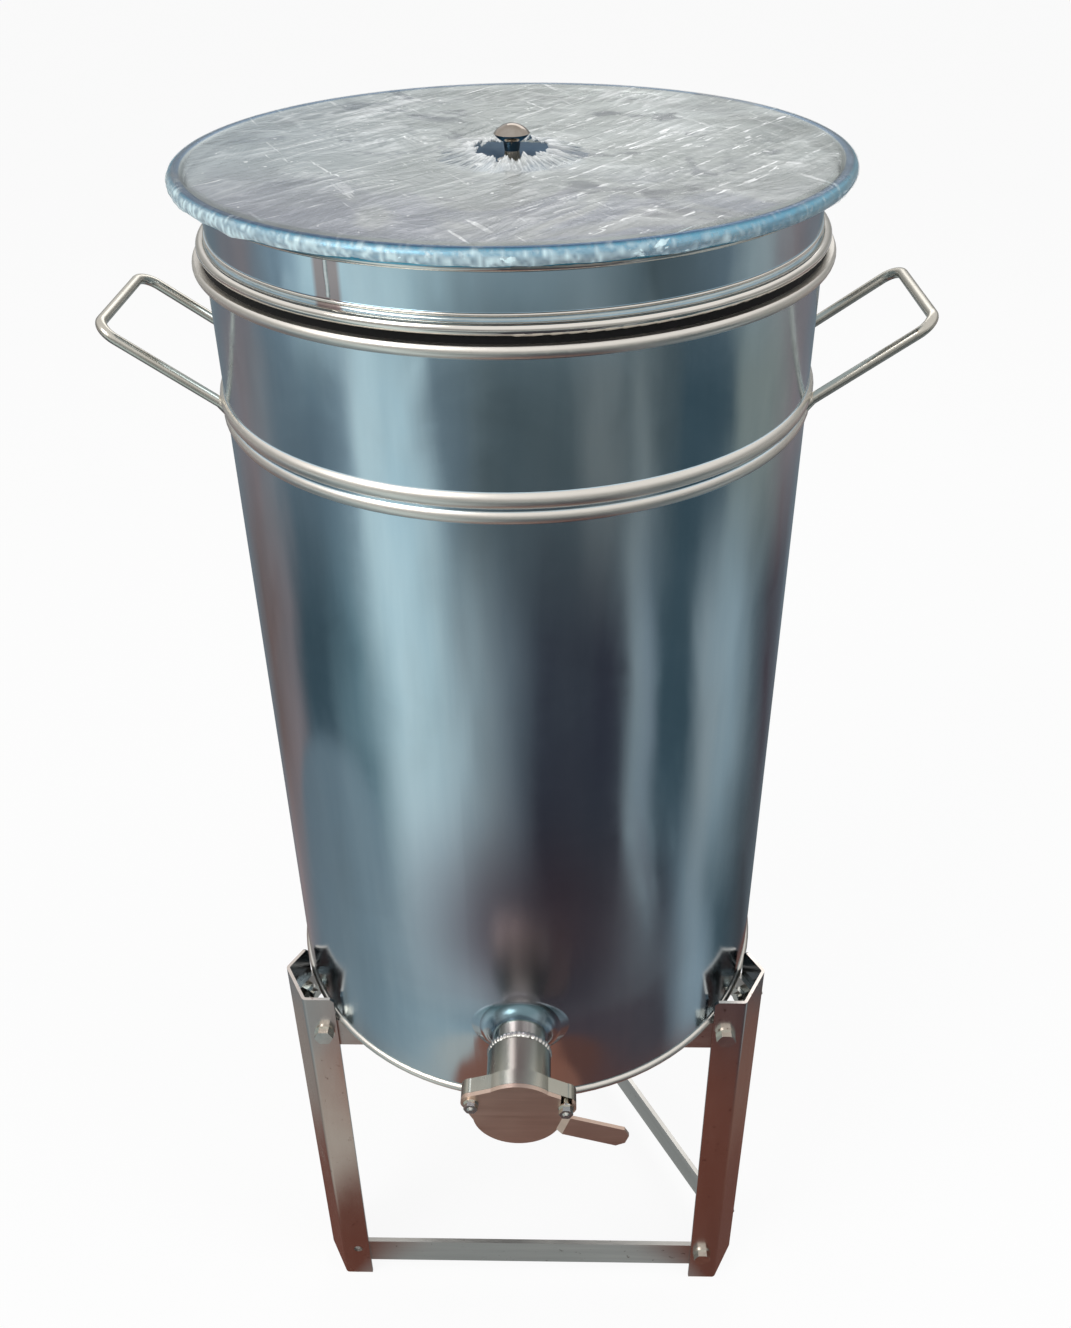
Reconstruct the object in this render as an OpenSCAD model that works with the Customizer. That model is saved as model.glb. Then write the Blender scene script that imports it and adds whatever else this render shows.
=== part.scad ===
// Honey settling tank on a three-legged bolted stand.
// A strainer collar sits in the tank's rolled rim, a film-wrapped lid sits on the collar,
// and a swing gate closes the outlet near the floor of the tank.
// Lengths are in millimetres, +Z is up, the floor is z = 0 on the tank's axis, and the outlet faces -Y.

/* [Tank] */
// Outside diameter of the tank wall
tank_d = 380; // [340:5:420]
// Height of the tank from its foot ring to the flat seat of its rim
tank_h = 598; // [500:1:680]
// Thickness of the tank, strainer and lid sheet
wall_t = 1; // [0.8:0.1:1.4]
// Radius of the wired roll round the tank rim
rim_roll_r = 4.3; // [3.8:0.1:5.2]
// Depth of the flat seat pressed into the top of the rim roll
rim_seat_cut = 1; // [0.8:0.1:1.2]
// Radius of the roll round the foot of the tank
foot_roll_r = 3.6; // [3:0.1:4.2]
// Distance from the rim seat down to the middle of the upper hoop
hoop_drop = 89; // [70:1:120]
// Distance between the middles of the two hoop beads
hoop_pitch = 10.5; // [10.5:0.1:14]
// Arc radius of the upper hoop bead
hoop_upper_r = 6; // [5.5:0.1:6.5]
// Arc radius of the lower hoop bead
hoop_lower_r = 5; // [4.5:0.1:5.5]
// Height that the upper hoop bead stands out of the wall
hoop_upper_out = 3; // [2:0.1:3.5]
// Height that the lower hoop bead stands out of the wall
hoop_lower_out = 2; // [1.5:0.1:2.5]
// Height of the tank floor above the foot ring
floor_lift = 9; // [8:0.5:16]

/* [Handles] */
// Diameter of the handle rod
rod_d = 7; // [6:0.5:9]
// Distance between the two arms of a handle
handle_w = 102; // [85:1:120]
// Length of a handle from the wall to the middle of its grip, along its slope
handle_reach = 90; // [75:1:100]
// Upward slope of the handles
handle_slope = 35.5; // [25:0.5:45]
// Middle radius of the bends at the handle corners
handle_bend_r = 13; // [10:0.5:18]

/* [Strainer] */
// Height of the strainer collar above the rim seat of the tank
collar_h = 41; // [36:1:60]
// Depth of the strainer skirt below the rim seat of the tank
skirt_h = 44; // [35:1:70]
// Gap between the strainer skirt and the tank wall
skirt_gap = 1.4; // [1.2:0.1:2]
// Radius of the stop bead that carries the collar
stop_bead_r = 3.6; // [3.2:0.1:4.2]
// Radius of the bead round the top of the collar
collar_bead_r = 3; // [2.6:0.1:3.6]
// Height of the rubber ring between the tank rim and the stop bead
seal_h = 3.8; // [3:0.1:4.5]
// Diameter of the strainer holes
screen_hole_d = 15; // [12:0.5:16]
// Number of rings of strainer holes
screen_rings = 6; // [5:1:6]

/* [Lid] */
// Distance that the lid reaches past the tank wall
lid_over = 14; // [13:0.5:20]
// Radius of the roll round the lid
lid_roll_r = 5; // [4.5:0.1:6]
// Depth of the ring under the lid that centres it in the collar
lid_ring_h = 12; // [8:0.5:16]
// Diameter of the lid knob
knob_d = 22; // [20:0.5:26]
// Height of the knob stem
knob_stem_h = 11; // [10:0.5:14]
// Thickness of the stretched film
film_t = 0.5; // [0.4:0.1:0.7]

/* [Gate] */
// Height of the outlet axis above the foot ring
outlet_h = 81; // [70:1:90]
// Outside diameter of the outlet tube
outlet_d = 38; // [34:0.5:42]
// Distance from the tank wall to the front face of the gate body
gate_reach = 69; // [64:1:76]
// Turn of the gate about the outlet axis
gate_tilt = 4; // [0:1:10]
// Thickness of the gate body flange
flange_t = 11; // [9:0.5:12]
// Thickness of the blade and of its lever
blade_t = 3; // [2.5:0.1:3.5]
// Distance between the two studs
stud_pitch = 63.5; // [62:0.5:68]
// Height of the studs above the outlet axis
stud_rise = 11; // [10:0.5:13]
// Diameter of the studs
stud_d = 5; // [4:0.5:6]
// Length of the lever in front of the blade
lever_l = 47; // [40:1:60]
// Width of the lever
lever_w = 18; // [15:0.5:18]
// Downward slope of the lever
lever_dip = 14.5; // [12:0.5:20]

/* [Stand] */
// Height of the upper edges of the top bars, which carry the tank
stand_h = 363; // [320:1:420]
// Height of the legs above the bars' upper edges
leg_rise = 27; // [20:1:32]
// Width of the outer face of a leg
leg_w = 38; // [36:1:44]
// Width of the two bent sides of a leg
leg_side = 24.5; // [23.5:0.5:27]
// Thickness of the leg sheet
leg_t = 2.5; // [2:0.1:3]
// Gap between the foot ring of the tank and the legs
leg_gap = 0.6; // [0.5:0.1:2]
// Height of the stand bars
bar_h = 30; // [26:1:34]
// Thickness of the stand bars
bar_t = 4; // [3:0.5:5]
// Height of the lower bars above the floor
bar_low_z = 18; // [12:1:40]
// Diameter of the stand bolts
bolt_d = 8; // [6:0.5:8]

/* [Hidden] */
$fn = 96;

// Extra length of a cutting tool past what it cuts
overrun = 2;
// Clearance of two parts that turn on each other
run_gap = 0.05;
// Clearance of two flat faces that slide past each other
slide_gap = 0.1;
// Clearance of a soft sheet from what it lies on
soft_gap = 0.3;
// Lays a profile drawn in X and Y upright, with its thickness towards -Y
upright = [90, 0, 0];
// Turn between neighbouring legs
leg_turn = 120;
// Number of flats of a nut or bolt head
hex_sides = 6;

tank_r = tank_d / 2;
inner_r = tank_r - wall_t;
base_z = stand_h;
rim_z = base_z + tank_h;
// The roll bites a little into the bore, as a wired edge does
roll_bite = 0.3;
rim_roll_c = inner_r - roll_bite + rim_roll_r;
rim_roll_z = rim_z + rim_seat_cut - rim_roll_r;
foot_seat_cut = 0.4;
foot_stand_out = 2.4;
foot_roll_c = tank_r + foot_stand_out - foot_roll_r;
foot_roll_z = base_z + foot_roll_r - foot_seat_cut;
foot_out_r = foot_roll_c + foot_roll_r;
hoop_upper_z = rim_z - hoop_drop;
hoop_lower_z = hoop_upper_z - hoop_pitch;
hoop_mid_z = (hoop_upper_z + hoop_lower_z) / 2;

rod_r = rod_d / 2;
handle_half_w = handle_w / 2;
handle_wall_x = sqrt(pow(tank_r, 2) - pow(handle_half_w, 2));
handle_root = rod_d;
weld_root_share = 1.9;
weld_tip_share = 0.96;
weld_l = 5;

collar_r = inner_r - skirt_gap;
collar_in_r = collar_r - wall_t;
collar_top_z = rim_z + collar_h;
collar_bottom_z = rim_z - skirt_h;
stop_seat_cut = 0.4;
stop_bead_out = 6.1;
stop_bead_c = collar_r + stop_bead_out - stop_bead_r;
stop_bead_z = rim_z + seal_h + stop_bead_r - stop_seat_cut;
step_bead_r = 1.2;
step_bead_rise = 6.4;
step_bead_z = stop_bead_z + step_bead_rise;
collar_bead_c = collar_in_r - roll_bite + collar_bead_r;
collar_seat_cut = 0.5;
collar_bead_z = collar_top_z + collar_seat_cut - collar_bead_r;
seal_w = 4.2;
lip_w = 10;
screen_gap = 0.4;
screen_edge = 10;
screen_wire_r = 2;
screen_top_z = collar_bottom_z + 2 * wall_t;
screen_pitch = (collar_in_r - lip_w - screen_edge - screen_hole_d / 2) / screen_rings;

lid_r = tank_r + lid_over;
lid_roll_c = lid_r - lid_roll_r;
lid_z = collar_top_z;
lid_top_z = lid_z + wall_t;
lid_roll_z = lid_z + lid_roll_r;
curl_gap = 1;
lid_ring_gap = 1;
lid_ring_r = collar_in_r - lid_ring_gap;
knob_washer_r = 9;
knob_washer_t = 1.5;
knob_stem_r = 4.5;
knob_foot_z = lid_top_z + knob_washer_t;
knob_r = knob_d / 2;
knob_flat_share = 0.52;
knob_seat_share = 0.4;
knob_waist_share = 1.2;
knob_z = knob_foot_z + knob_stem_h;
screw_r = 2.5;
screw_head_r = 5;
screw_head_h = 3;
screw_depth = 9;
film_hole_r = 27;
film_drop = 5;
film_wrap_share = 0.55;

outlet_r = outlet_d / 2;
outlet_z = base_z + outlet_h;
outlet_t = 1.5;
outlet_in_r = outlet_r - outlet_t;
outlet_inside = 3;
// Neck drawn out of the wall round the outlet tube
neck_r = 9.5;
neck_t = 0.8;
neck_sink = 0.3;
neck_run = 7.5;
neck_fall = 3.75;
neck_root = 8;
neck_edge_r = outlet_r + neck_t + neck_r;
socket_l = 8;
gate_tube_t = 3.2;
gate_tube_share = 0.38;
gate_tube_r = outlet_r + gate_tube_t;
gate_tube_y = tank_r + gate_reach * gate_tube_share;
outlet_l = gate_tube_y + socket_l + outlet_inside - inner_r;
gate_rear_y = tank_r + gate_reach - flange_t;
gate_face_y = tank_r + gate_reach;
blade_y = gate_face_y + slide_gap;
blade_front_y = blade_y + blade_t;
weld_r = 3;
weld_rise = 0.8;
disc_over = 11.3;
disc_r = outlet_r + disc_over;
ear_r = 7;
stud_r = stud_d / 2;
stud_half = stud_pitch / 2;
stud_tail = 6.4;
ear_link_share = 0.96;
seal_wall = 1.5;
seal_in_r = outlet_r + seal_wall;
seal_ring_w = 3;
seal_depth = 2;
nut_flats_share = 1.67;
nut_t_share = 0.8;
nut_crown_share = 0.94;
washer_share = 1.05;
head_h_share = 0.67;
nut_flats = stud_d * nut_flats_share;
nut_t = stud_d * nut_t_share;
washer_r = stud_d * washer_share;
washer_t = 1;
slot_gap = 1.4;
lever_step = blade_t;
lever_out = 2.2;
lever_x = stud_half - lever_out;
lever_z = -3.6;
lever_bevel = 5;
lever_root = 14;
joggle_l = 4.4;
joggle_turn = atan(lever_step / joggle_l);
lever_inset = 0.2;
lever_t = blade_t - 2 * lever_inset;
lever_front = lever_inset + lever_step;
joggle_back = lever_t * tan(joggle_turn / 2);

bolt_r = bolt_d / 2;
head_flats = bolt_d * nut_flats_share;
head_h = bolt_d * head_h_share;
bolt_nut_t = bolt_d * nut_t_share;
bolt_washer_r = bolt_d * washer_share;
bolt_washer_t = 1.2;
bolt_tail = 3;
leg_h = stand_h + leg_rise;
leg_corner = 2;
leg_hole_share = 0.57;
leg_bend_r = 4;
// Angle of a leg's sides to its radius, and of a bar's end to its legs
side_turn = leg_turn / 4;
bend_turn = leg_turn / 2;
bend_steps = 6;
bend_step = bend_turn / bend_steps;
leg_bend_run = leg_bend_r * tan(side_turn);
leg_flat_half = leg_w / 2 - leg_bend_run;
leg_side_flat = leg_side - leg_bend_run;
leg_hole_run = leg_side * leg_hole_share - leg_bend_run;
// The inner edges of the bent sides stand clear of the tank's foot ring
side_in_x = leg_side * cos(side_turn) + leg_t * sin(side_turn);
side_in_y = leg_w / 2 + leg_side * sin(side_turn) - leg_t * cos(side_turn);
leg_r = side_in_x + sqrt(pow(foot_out_r + leg_gap, 2) - pow(side_in_y, 2));
leg_out_x = leg_r * cos(side_turn) - leg_w / 2 * sin(side_turn);
leg_out_y = leg_r * sin(side_turn) + leg_w / 2 * cos(side_turn);
bar_y = leg_out_y - leg_t;
bar_half = leg_out_x - bar_t;
hole_x = leg_out_x - leg_side * leg_hole_share;
top_bolt_share = 0.38;
low_bolt_share = 0.72;
top_bolt_z = stand_h - bar_h * top_bolt_share;
low_bolt_z = bar_low_z + bar_h * low_bolt_share;

// Bead of a formed hoop, as the part of a circle that stands out of the wall
module hoop_arc(r, out, z) {
  intersection() {
    translate([tank_r + out - r, z])
      circle(r = r);
    translate([inner_r, z - r])
      square([out + wall_t + overrun, 2 * r]);
  }
}

// Groove that forming leaves inside a hoop bead
module hoop_groove(r, out, z) {
  translate([tank_r + out - r, z])
    circle(r = r - wall_t);
}

// Filled section of the tank with its hoops, used to trim what is welded on
module tank_section() {
  translate([0, base_z])
    square([tank_r, tank_h]);
  hoop_arc(hoop_upper_r, hoop_upper_out, hoop_upper_z);
  hoop_arc(hoop_lower_r, hoop_lower_out, hoop_lower_z);
}

module tank_profile() {
  difference() {
    union() {
      translate([inner_r, base_z])
        square([wall_t, rim_roll_z - base_z]);
      difference() {
        translate([rim_roll_c, rim_roll_z])
          circle(r = rim_roll_r);
        translate([rim_roll_c - 2 * rim_roll_r, rim_z])
          square([4 * rim_roll_r, rim_roll_r]);
      }
      difference() {
        translate([foot_roll_c, foot_roll_z])
          circle(r = foot_roll_r);
        translate([foot_roll_c - 2 * foot_roll_r, base_z - foot_roll_r])
          square([4 * foot_roll_r, foot_roll_r]);
        translate([0, base_z - overrun])
          square([inner_r, 4 * foot_roll_r]);
      }
      hoop_arc(hoop_upper_r, hoop_upper_out, hoop_upper_z);
      hoop_arc(hoop_lower_r, hoop_lower_out, hoop_lower_z);
    }
    hoop_groove(hoop_upper_r, hoop_upper_out, hoop_upper_z);
    hoop_groove(hoop_lower_r, hoop_lower_out, hoop_lower_z);
  }
}

// Half section of the neck, drawn along the outlet axis
module neck_profile() {
  difference() {
    polygon([
      [outlet_r / 2, -neck_root],
      [neck_edge_r + neck_run, -neck_root],
      [neck_edge_r + neck_run, -neck_fall],
      [neck_edge_r, 0],
      [neck_edge_r, neck_r],
      [outlet_r / 2, neck_r]
    ]);
    translate([neck_edge_r, neck_r])
      circle(r = neck_r);
  }
}

// Neck round the outlet, trimmed inside the thickness of the wall
module outlet_neck() {
  difference() {
    translate([0, neck_sink - tank_r, outlet_z])
      rotate(upright)
        rotate_extrude()
          neck_profile();
    translate([0, 0, base_z])
      cylinder(r = tank_r - wall_t / 2, h = tank_h);
  }
}

module tank_shell() {
  color("LightSteelBlue")
    difference() {
      union() {
        rotate_extrude()
          tank_profile();
        outlet_neck();
      }
      translate([0, 0, outlet_z])
        rotate(upright)
          cylinder(r = outlet_r, h = tank_r + neck_r + overrun);
    }
}

// Floor of the tank, with its edge turned down inside the wall
module tank_bottom() {
  color("Silver")
    rotate_extrude() {
      translate([0, base_z + floor_lift])
        square([inner_r, wall_t]);
      translate([inner_r - wall_t, base_z + wall_t])
        square([wall_t, floor_lift]);
    }
}

// Bent rod of a handle in its own plane, with its arms along +X
module handle_rod() {
  arm_l = handle_reach - handle_bend_r;
  for (side = [-1, 1])
    translate([-handle_root, side * handle_half_w, 0])
      rotate([0, 90, 0])
        cylinder(r = rod_r, h = arm_l + handle_root);
  for (side = [-1, 1])
    mirror([0, (1 - side) / 2, 0])
      translate([arm_l, handle_half_w - handle_bend_r, 0])
        rotate_extrude(angle = 90)
          translate([handle_bend_r, 0])
            circle(r = rod_r);
  translate([handle_reach, handle_half_w - handle_bend_r, 0])
    rotate(upright)
      cylinder(r = rod_r, h = handle_w - 2 * handle_bend_r);
}

// Weld that flares round the root of each arm
module handle_welds() {
  for (side = [-1, 1])
    translate([-handle_root, side * handle_half_w, 0])
      rotate([0, 90, 0])
        cylinder(r1 = rod_r * weld_root_share, r2 = rod_r * weld_tip_share, h = handle_root + weld_l);
}

module handle_right() {
  color("Gainsboro")
    difference() {
      translate([handle_wall_x, 0, hoop_mid_z])
        rotate([0, -handle_slope, 0]) {
          handle_rod();
          handle_welds();
        }
      rotate_extrude()
        tank_section();
    }
}

module handle_left() {
  mirror([1, 0, 0])
    handle_right();
}

module outlet_tube() {
  color("Silver")
    translate([0, outlet_inside - inner_r, outlet_z])
      rotate(upright)
        difference() {
          cylinder(r = outlet_r, h = outlet_l);
          translate([0, 0, -overrun])
            cylinder(r = outlet_in_r, h = outlet_l + 2 * overrun);
        }
}

// Fillet of weld between the outlet tube and the gate tube
module outlet_weld() {
  color("WhiteSmoke")
    translate([0, -gate_tube_y, outlet_z])
      rotate([-90, 0, 0])
        rotate_extrude()
          intersection() {
            translate([outlet_r + weld_rise, 0])
              circle(r = weld_r);
            translate([outlet_r, 0])
              square([weld_r + overrun, weld_r + overrun]);
          }
}

// Places what is drawn at the gate's own axis
module at_gate(y) {
  translate([0, -y, outlet_z])
    rotate([0, gate_tilt, 0])
      children();
}

// Lays a gate profile upright at a distance from the tank's axis
module gate_plate(y, t) {
  at_gate(y)
    rotate(upright)
      linear_extrude(height = t)
        children();
}

// Places a round part on both studs
module at_studs(y) {
  at_gate(y)
    for (side = [-1, 1])
      translate([side * stud_half, 0, stud_rise])
        rotate(upright)
          children();
}

function tangent_turn(r1, r2, d) = acos((r1 - r2) / norm(d));
function on_circle(c, r, a) = c + r * ear_link_share * [cos(a), sin(a)];

// Two circles joined by the straight sides that touch both
module linked(c1, r1, c2, r2) {
  d = c2 - c1;
  way = atan2(d[1], d[0]);
  turn = tangent_turn(r1, r2, d);
  translate(c1)
    circle(r = r1);
  translate(c2)
    circle(r = r2);
  polygon([
    on_circle(c1, r1, way + turn),
    on_circle(c2, r2, way + turn),
    on_circle(c2, r2, way - turn),
    on_circle(c1, r1, way - turn)
  ]);
}

// Outline of the gate: a disc over the outlet with an ear for each stud
module gate_outline() {
  linked([0, 0], disc_r, [-stud_half, stud_rise], ear_r);
  linked([0, 0], disc_r, [stud_half, stud_rise], ear_r);
}

module stud_holes(r) {
  for (side = [-1, 1])
    translate([side * stud_half, stud_rise])
      circle(r = r);
}

module gate_body() {
  color("DarkSeaGreen")
    difference() {
      union() {
        gate_plate(gate_rear_y, flange_t)
          difference() {
            gate_outline();
            stud_holes(stud_r);
          }
        at_gate(gate_tube_y)
          rotate(upright)
            cylinder(r = gate_tube_r, h = gate_rear_y - gate_tube_y + overrun);
      }
      at_gate(gate_tube_y - overrun)
        rotate(upright)
          cylinder(r = outlet_in_r, h = gate_reach + overrun);
      at_gate(gate_tube_y - overrun)
        rotate(upright)
          cylinder(r = outlet_r, h = socket_l + overrun);
      gate_plate(gate_face_y - seal_depth, seal_depth + overrun)
        difference() {
          circle(r = seal_in_r + seal_ring_w);
          circle(r = seal_in_r);
        }
    }
}

module gate_seal() {
  color("DimGray")
    gate_plate(gate_face_y - seal_depth, seal_depth + slide_gap)
      difference() {
        circle(r = seal_in_r + seal_ring_w);
        circle(r = seal_in_r);
      }
}

// Slot that lets the blade swing down off the right stud
module blade_slot() {
  translate([stud_half, stud_rise])
    circle(r = stud_r + slot_gap);
  translate([stud_half - stud_r - slot_gap, stud_rise])
    square([stud_d + 2 * slot_gap, 2 * ear_r]);
}

// Outline of the lever with its end bevelled
module lever_face() {
  polygon([
    [-lever_root, -lever_w / 2],
    [lever_l - lever_bevel, -lever_w / 2],
    [lever_l, lever_bevel - lever_w / 2],
    [lever_l, lever_w / 2 - lever_bevel],
    [lever_l - lever_bevel, lever_w / 2],
    [-lever_root, lever_w / 2]
  ]);
}

// Edge of the lever strip, which steps forward out of the blade
module lever_edge() {
  polygon([
    [-lever_root, -lever_inset],
    [0, -lever_inset],
    [joggle_l, -lever_front],
    [lever_l + overrun, -lever_front],
    [lever_l + overrun, -lever_front - lever_t],
    [joggle_l - joggle_back, -lever_front - lever_t],
    [-joggle_back, -lever_inset - lever_t],
    [-lever_root, -lever_inset - lever_t]
  ]);
}

// Joggled lever on the blade
module lever() {
  at_gate(blade_y)
    translate([lever_x, 0, lever_z])
      rotate([0, lever_dip, 0])
        intersection() {
          translate([0, 0, -lever_w / 2])
            linear_extrude(height = lever_w)
              lever_edge();
          translate([0, overrun, 0])
            rotate(upright)
              linear_extrude(height = lever_step + blade_t + 2 * overrun)
                lever_face();
        }
}

// Blade with its joggled lever, hung on the left stud
module gate_blade() {
  color("RosyBrown") {
    gate_plate(blade_y, blade_t)
      difference() {
        gate_outline();
        translate([-stud_half, stud_rise])
          circle(r = stud_r + run_gap);
        blade_slot();
      }
    lever();
  }
}

module gate_studs() {
  stud_l = blade_front_y - gate_rear_y + stud_tail;
  color("Gray")
    at_studs(gate_rear_y) {
      cylinder(r = stud_r, h = stud_l - stud_r / 2);
      translate([0, 0, stud_l - stud_r / 2])
        cylinder(r1 = stud_r, r2 = stud_r / 2, h = stud_r / 2);
    }
}

module ring(r, hole_r, t) {
  difference() {
    cylinder(r = r, h = t);
    translate([0, 0, -overrun])
      cylinder(r = hole_r, h = t + 2 * overrun);
  }
}

// Six-sided nut with its corners turned off, flat side down
module hex_nut(flats, hole_r, t) {
  corner_r = flats / sqrt(3);
  difference() {
    intersection() {
      cylinder(r = corner_r, h = t, $fn = hex_sides);
      cylinder(r1 = corner_r + t, r2 = corner_r * nut_crown_share, h = t);
    }
    translate([0, 0, -overrun])
      cylinder(r = hole_r, h = t + 2 * overrun);
  }
}

module gate_washers() {
  color("LightGray")
    at_studs(blade_front_y + slide_gap)
      ring(washer_r, stud_r, washer_t);
}

module gate_nuts() {
  color("Gray")
    at_studs(blade_front_y + slide_gap + washer_t)
      hex_nut(nut_flats, stud_r, nut_t);
}

// Strainer wall with its top bead, stop bead and inner lip, drawn as a half section
module collar_profile() {
  translate([collar_in_r, collar_bottom_z])
    square([wall_t, collar_bead_z - collar_bottom_z]);
  translate([collar_r - lip_w, collar_bottom_z])
    square([lip_w, wall_t]);
  difference() {
    union() {
      translate([collar_bead_c, collar_bead_z])
        circle(r = collar_bead_r);
      translate([stop_bead_c, stop_bead_z])
        circle(r = stop_bead_r);
      translate([collar_r - wall_t / 2, stop_bead_z - stop_bead_r + stop_seat_cut])
        square([stop_bead_c - collar_r + wall_t / 2, 2 * stop_bead_r - 2 * stop_seat_cut]);
      translate([collar_r, step_bead_z])
        circle(r = step_bead_r);
    }
    translate([0, collar_top_z])
      square([lid_r, collar_bead_r]);
    translate([0, rim_z + seal_h - stop_bead_r])
      square([lid_r, stop_bead_r]);
    translate([0, collar_bottom_z])
      square([collar_in_r, collar_h + skirt_h - 2 * collar_bead_r]);
  }
}

module strainer_collar() {
  color("LightBlue")
    rotate_extrude()
      collar_profile();
}

// Screen with rings of holes, six more in each ring than in the last
module strainer_screen() {
  color("Silver")
    translate([0, 0, collar_bottom_z + wall_t])
      linear_extrude(height = wall_t)
        difference() {
          circle(r = collar_in_r - screen_gap);
          circle(r = screen_hole_d / 2);
          for (i = [1 : screen_rings])
            for (k = [1 : hex_sides * i])
              rotate(k * 360 / (hex_sides * i))
                translate([i * screen_pitch, 0])
                  circle(r = screen_hole_d / 2, $fn = 24);
        }
}

// Sprung wire that holds the screen on its lip
module screen_ring() {
  color("Gray")
    translate([0, 0, screen_top_z])
      ring(collar_in_r, collar_in_r - 2 * screen_wire_r, 2 * screen_wire_r);
}

module rim_seal() {
  color("DimGray")
    translate([0, 0, rim_z])
      ring(collar_r + seal_w, collar_r, seal_h);
}

// Flat lid with its edge curled up and over, and the curl left open above the flat
module lid_pan() {
  color("LightCyan")
    rotate_extrude()
      difference() {
        union() {
          translate([screw_r, lid_z])
            square([lid_roll_c - screw_r, wall_t]);
          translate([lid_roll_c, lid_roll_z])
            circle(r = lid_roll_r);
        }
        translate([lid_roll_c, lid_roll_z])
          circle(r = lid_roll_r - wall_t);
        translate([lid_roll_c - 2 * lid_roll_r, lid_top_z])
          square([2 * lid_roll_r, curl_gap]);
      }
}

module lid_ring() {
  color("Silver")
    translate([0, 0, lid_z - lid_ring_h])
      ring(lid_ring_r, lid_ring_r - wall_t, lid_ring_h);
}

// Round knob on a waisted stem
module lid_knob() {
  color("Gainsboro")
    difference() {
      union() {
        translate([0, 0, knob_foot_z])
          cylinder(r1 = knob_stem_r * knob_waist_share, r2 = knob_stem_r, h = knob_stem_h / 2);
        translate([0, 0, knob_foot_z + knob_stem_h / 2])
          cylinder(r1 = knob_stem_r, r2 = knob_stem_r * knob_waist_share, h = knob_stem_h / 2);
        rotate_extrude()
          knob_section();
      }
      translate([0, 0, knob_foot_z - overrun])
        cylinder(r = screw_r, h = screw_depth + overrun);
    }
}

// Half section of the knob: a flattened ball of two arcs
module knob_section() {
  arc_r = (pow(knob_r, 2) + pow(knob_r * knob_flat_share, 2)) / (2 * knob_r * knob_flat_share);
  drop = arc_r - knob_r * knob_flat_share;
  intersection() {
    translate([0, knob_z - drop + knob_r * knob_seat_share])
      circle(r = arc_r);
    translate([0, knob_z + drop + knob_r * knob_seat_share])
      circle(r = arc_r);
    translate([0, knob_z - knob_d])
      square([knob_d, 2 * knob_d]);
  }
}

module knob_washer() {
  color("LightGray")
    translate([0, 0, lid_top_z])
      ring(knob_washer_r, screw_r, knob_washer_t);
}

module knob_screw() {
  color("Gray") {
    translate([0, 0, lid_z - screw_head_h])
      cylinder(r = screw_head_r, h = screw_head_h);
    translate([0, 0, lid_z])
      cylinder(r = screw_r, h = knob_foot_z - lid_z + screw_depth);
  }
}

// Clear film stretched over the lid roll and down towards the knob
module lid_wrap() {
  in_r = lid_roll_r + soft_gap;
  out_r = in_r + film_t;
  edge_z = lid_roll_z - lid_roll_r * film_wrap_share;
  top_z = lid_roll_z + in_r;
  color("White", 0.5)
    rotate_extrude() {
      intersection() {
        difference() {
          translate([lid_roll_c, lid_roll_z])
            circle(r = out_r);
          translate([lid_roll_c, lid_roll_z])
            circle(r = in_r);
        }
        translate([lid_roll_c, edge_z])
          square([2 * lid_roll_r, 3 * lid_roll_r]);
      }
      polygon([
        [lid_roll_c, top_z],
        [lid_roll_c, top_z + film_t],
        [film_hole_r, top_z + film_t - film_drop],
        [film_hole_r, top_z - film_drop]
      ]);
    }
}

// Half of a leg in plan: round the outside of one bend, across the end of its side and back inside
function spun(v, a) = [v[0] * cos(a) - v[1] * sin(a), v[0] * sin(a) + v[1] * cos(a)];
function bend_arc(r) = [for (i = [0 : bend_steps]) r * [cos(i * bend_step), sin(i * bend_step)]];
function backwards(points) = [for (i = [len(points) - 1 : -1 : 0]) points[i]];
function side_end(r) = spun([r, leg_side_flat], bend_turn);
function leg_half() = concat(
  bend_arc(leg_bend_r),
  [side_end(leg_bend_r), side_end(leg_bend_r - leg_t)],
  backwards(bend_arc(leg_bend_r - leg_t))
);

// Leg in plan, with the middle of its outer face at +X
module leg_plan() {
  half = [for (p = leg_half()) p + [leg_r - leg_bend_r, leg_flat_half]];
  polygon(concat(half, [for (p = backwards(half)) [p[0], -p[1]]]));
}

// Places what is drawn against a leg's side: X out of its face, Y along it from the bend
module at_side() {
  translate([leg_r - leg_bend_r, leg_flat_half, 0])
    rotate(bend_turn)
      translate([leg_bend_r, 0, 0])
        children();
}

// What is cut from one side of a leg: two bolt holes and the top corner
module leg_side_cuts() {
  at_side() {
    for (z = [top_bolt_z, low_bolt_z])
      translate([-leg_t - overrun, leg_hole_run, z])
        rotate([0, 90, 0])
          cylinder(r = bolt_r, h = leg_t + 2 * overrun);
    translate([-leg_t - overrun, leg_side_flat, leg_h])
      rotate([45, 0, 0])
        translate([0, -leg_corner, -leg_corner])
          cube([leg_t + 2 * overrun, 2 * leg_corner, 2 * leg_corner]);
  }
}

// Pressed leg that stands beside the tank at a turn from +X
module leg(turn) {
  color("Tan")
    rotate(turn)
      difference() {
        linear_extrude(height = leg_h)
          leg_plan();
        for (side = [0, 1])
          mirror([0, side, 0])
            leg_side_cuts();
      }
}

module leg_right() {
  leg(-side_turn);
}

module leg_left() {
  leg(-leg_turn - side_turn);
}

module leg_rear() {
  leg(leg_turn - side_turn);
}

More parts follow.
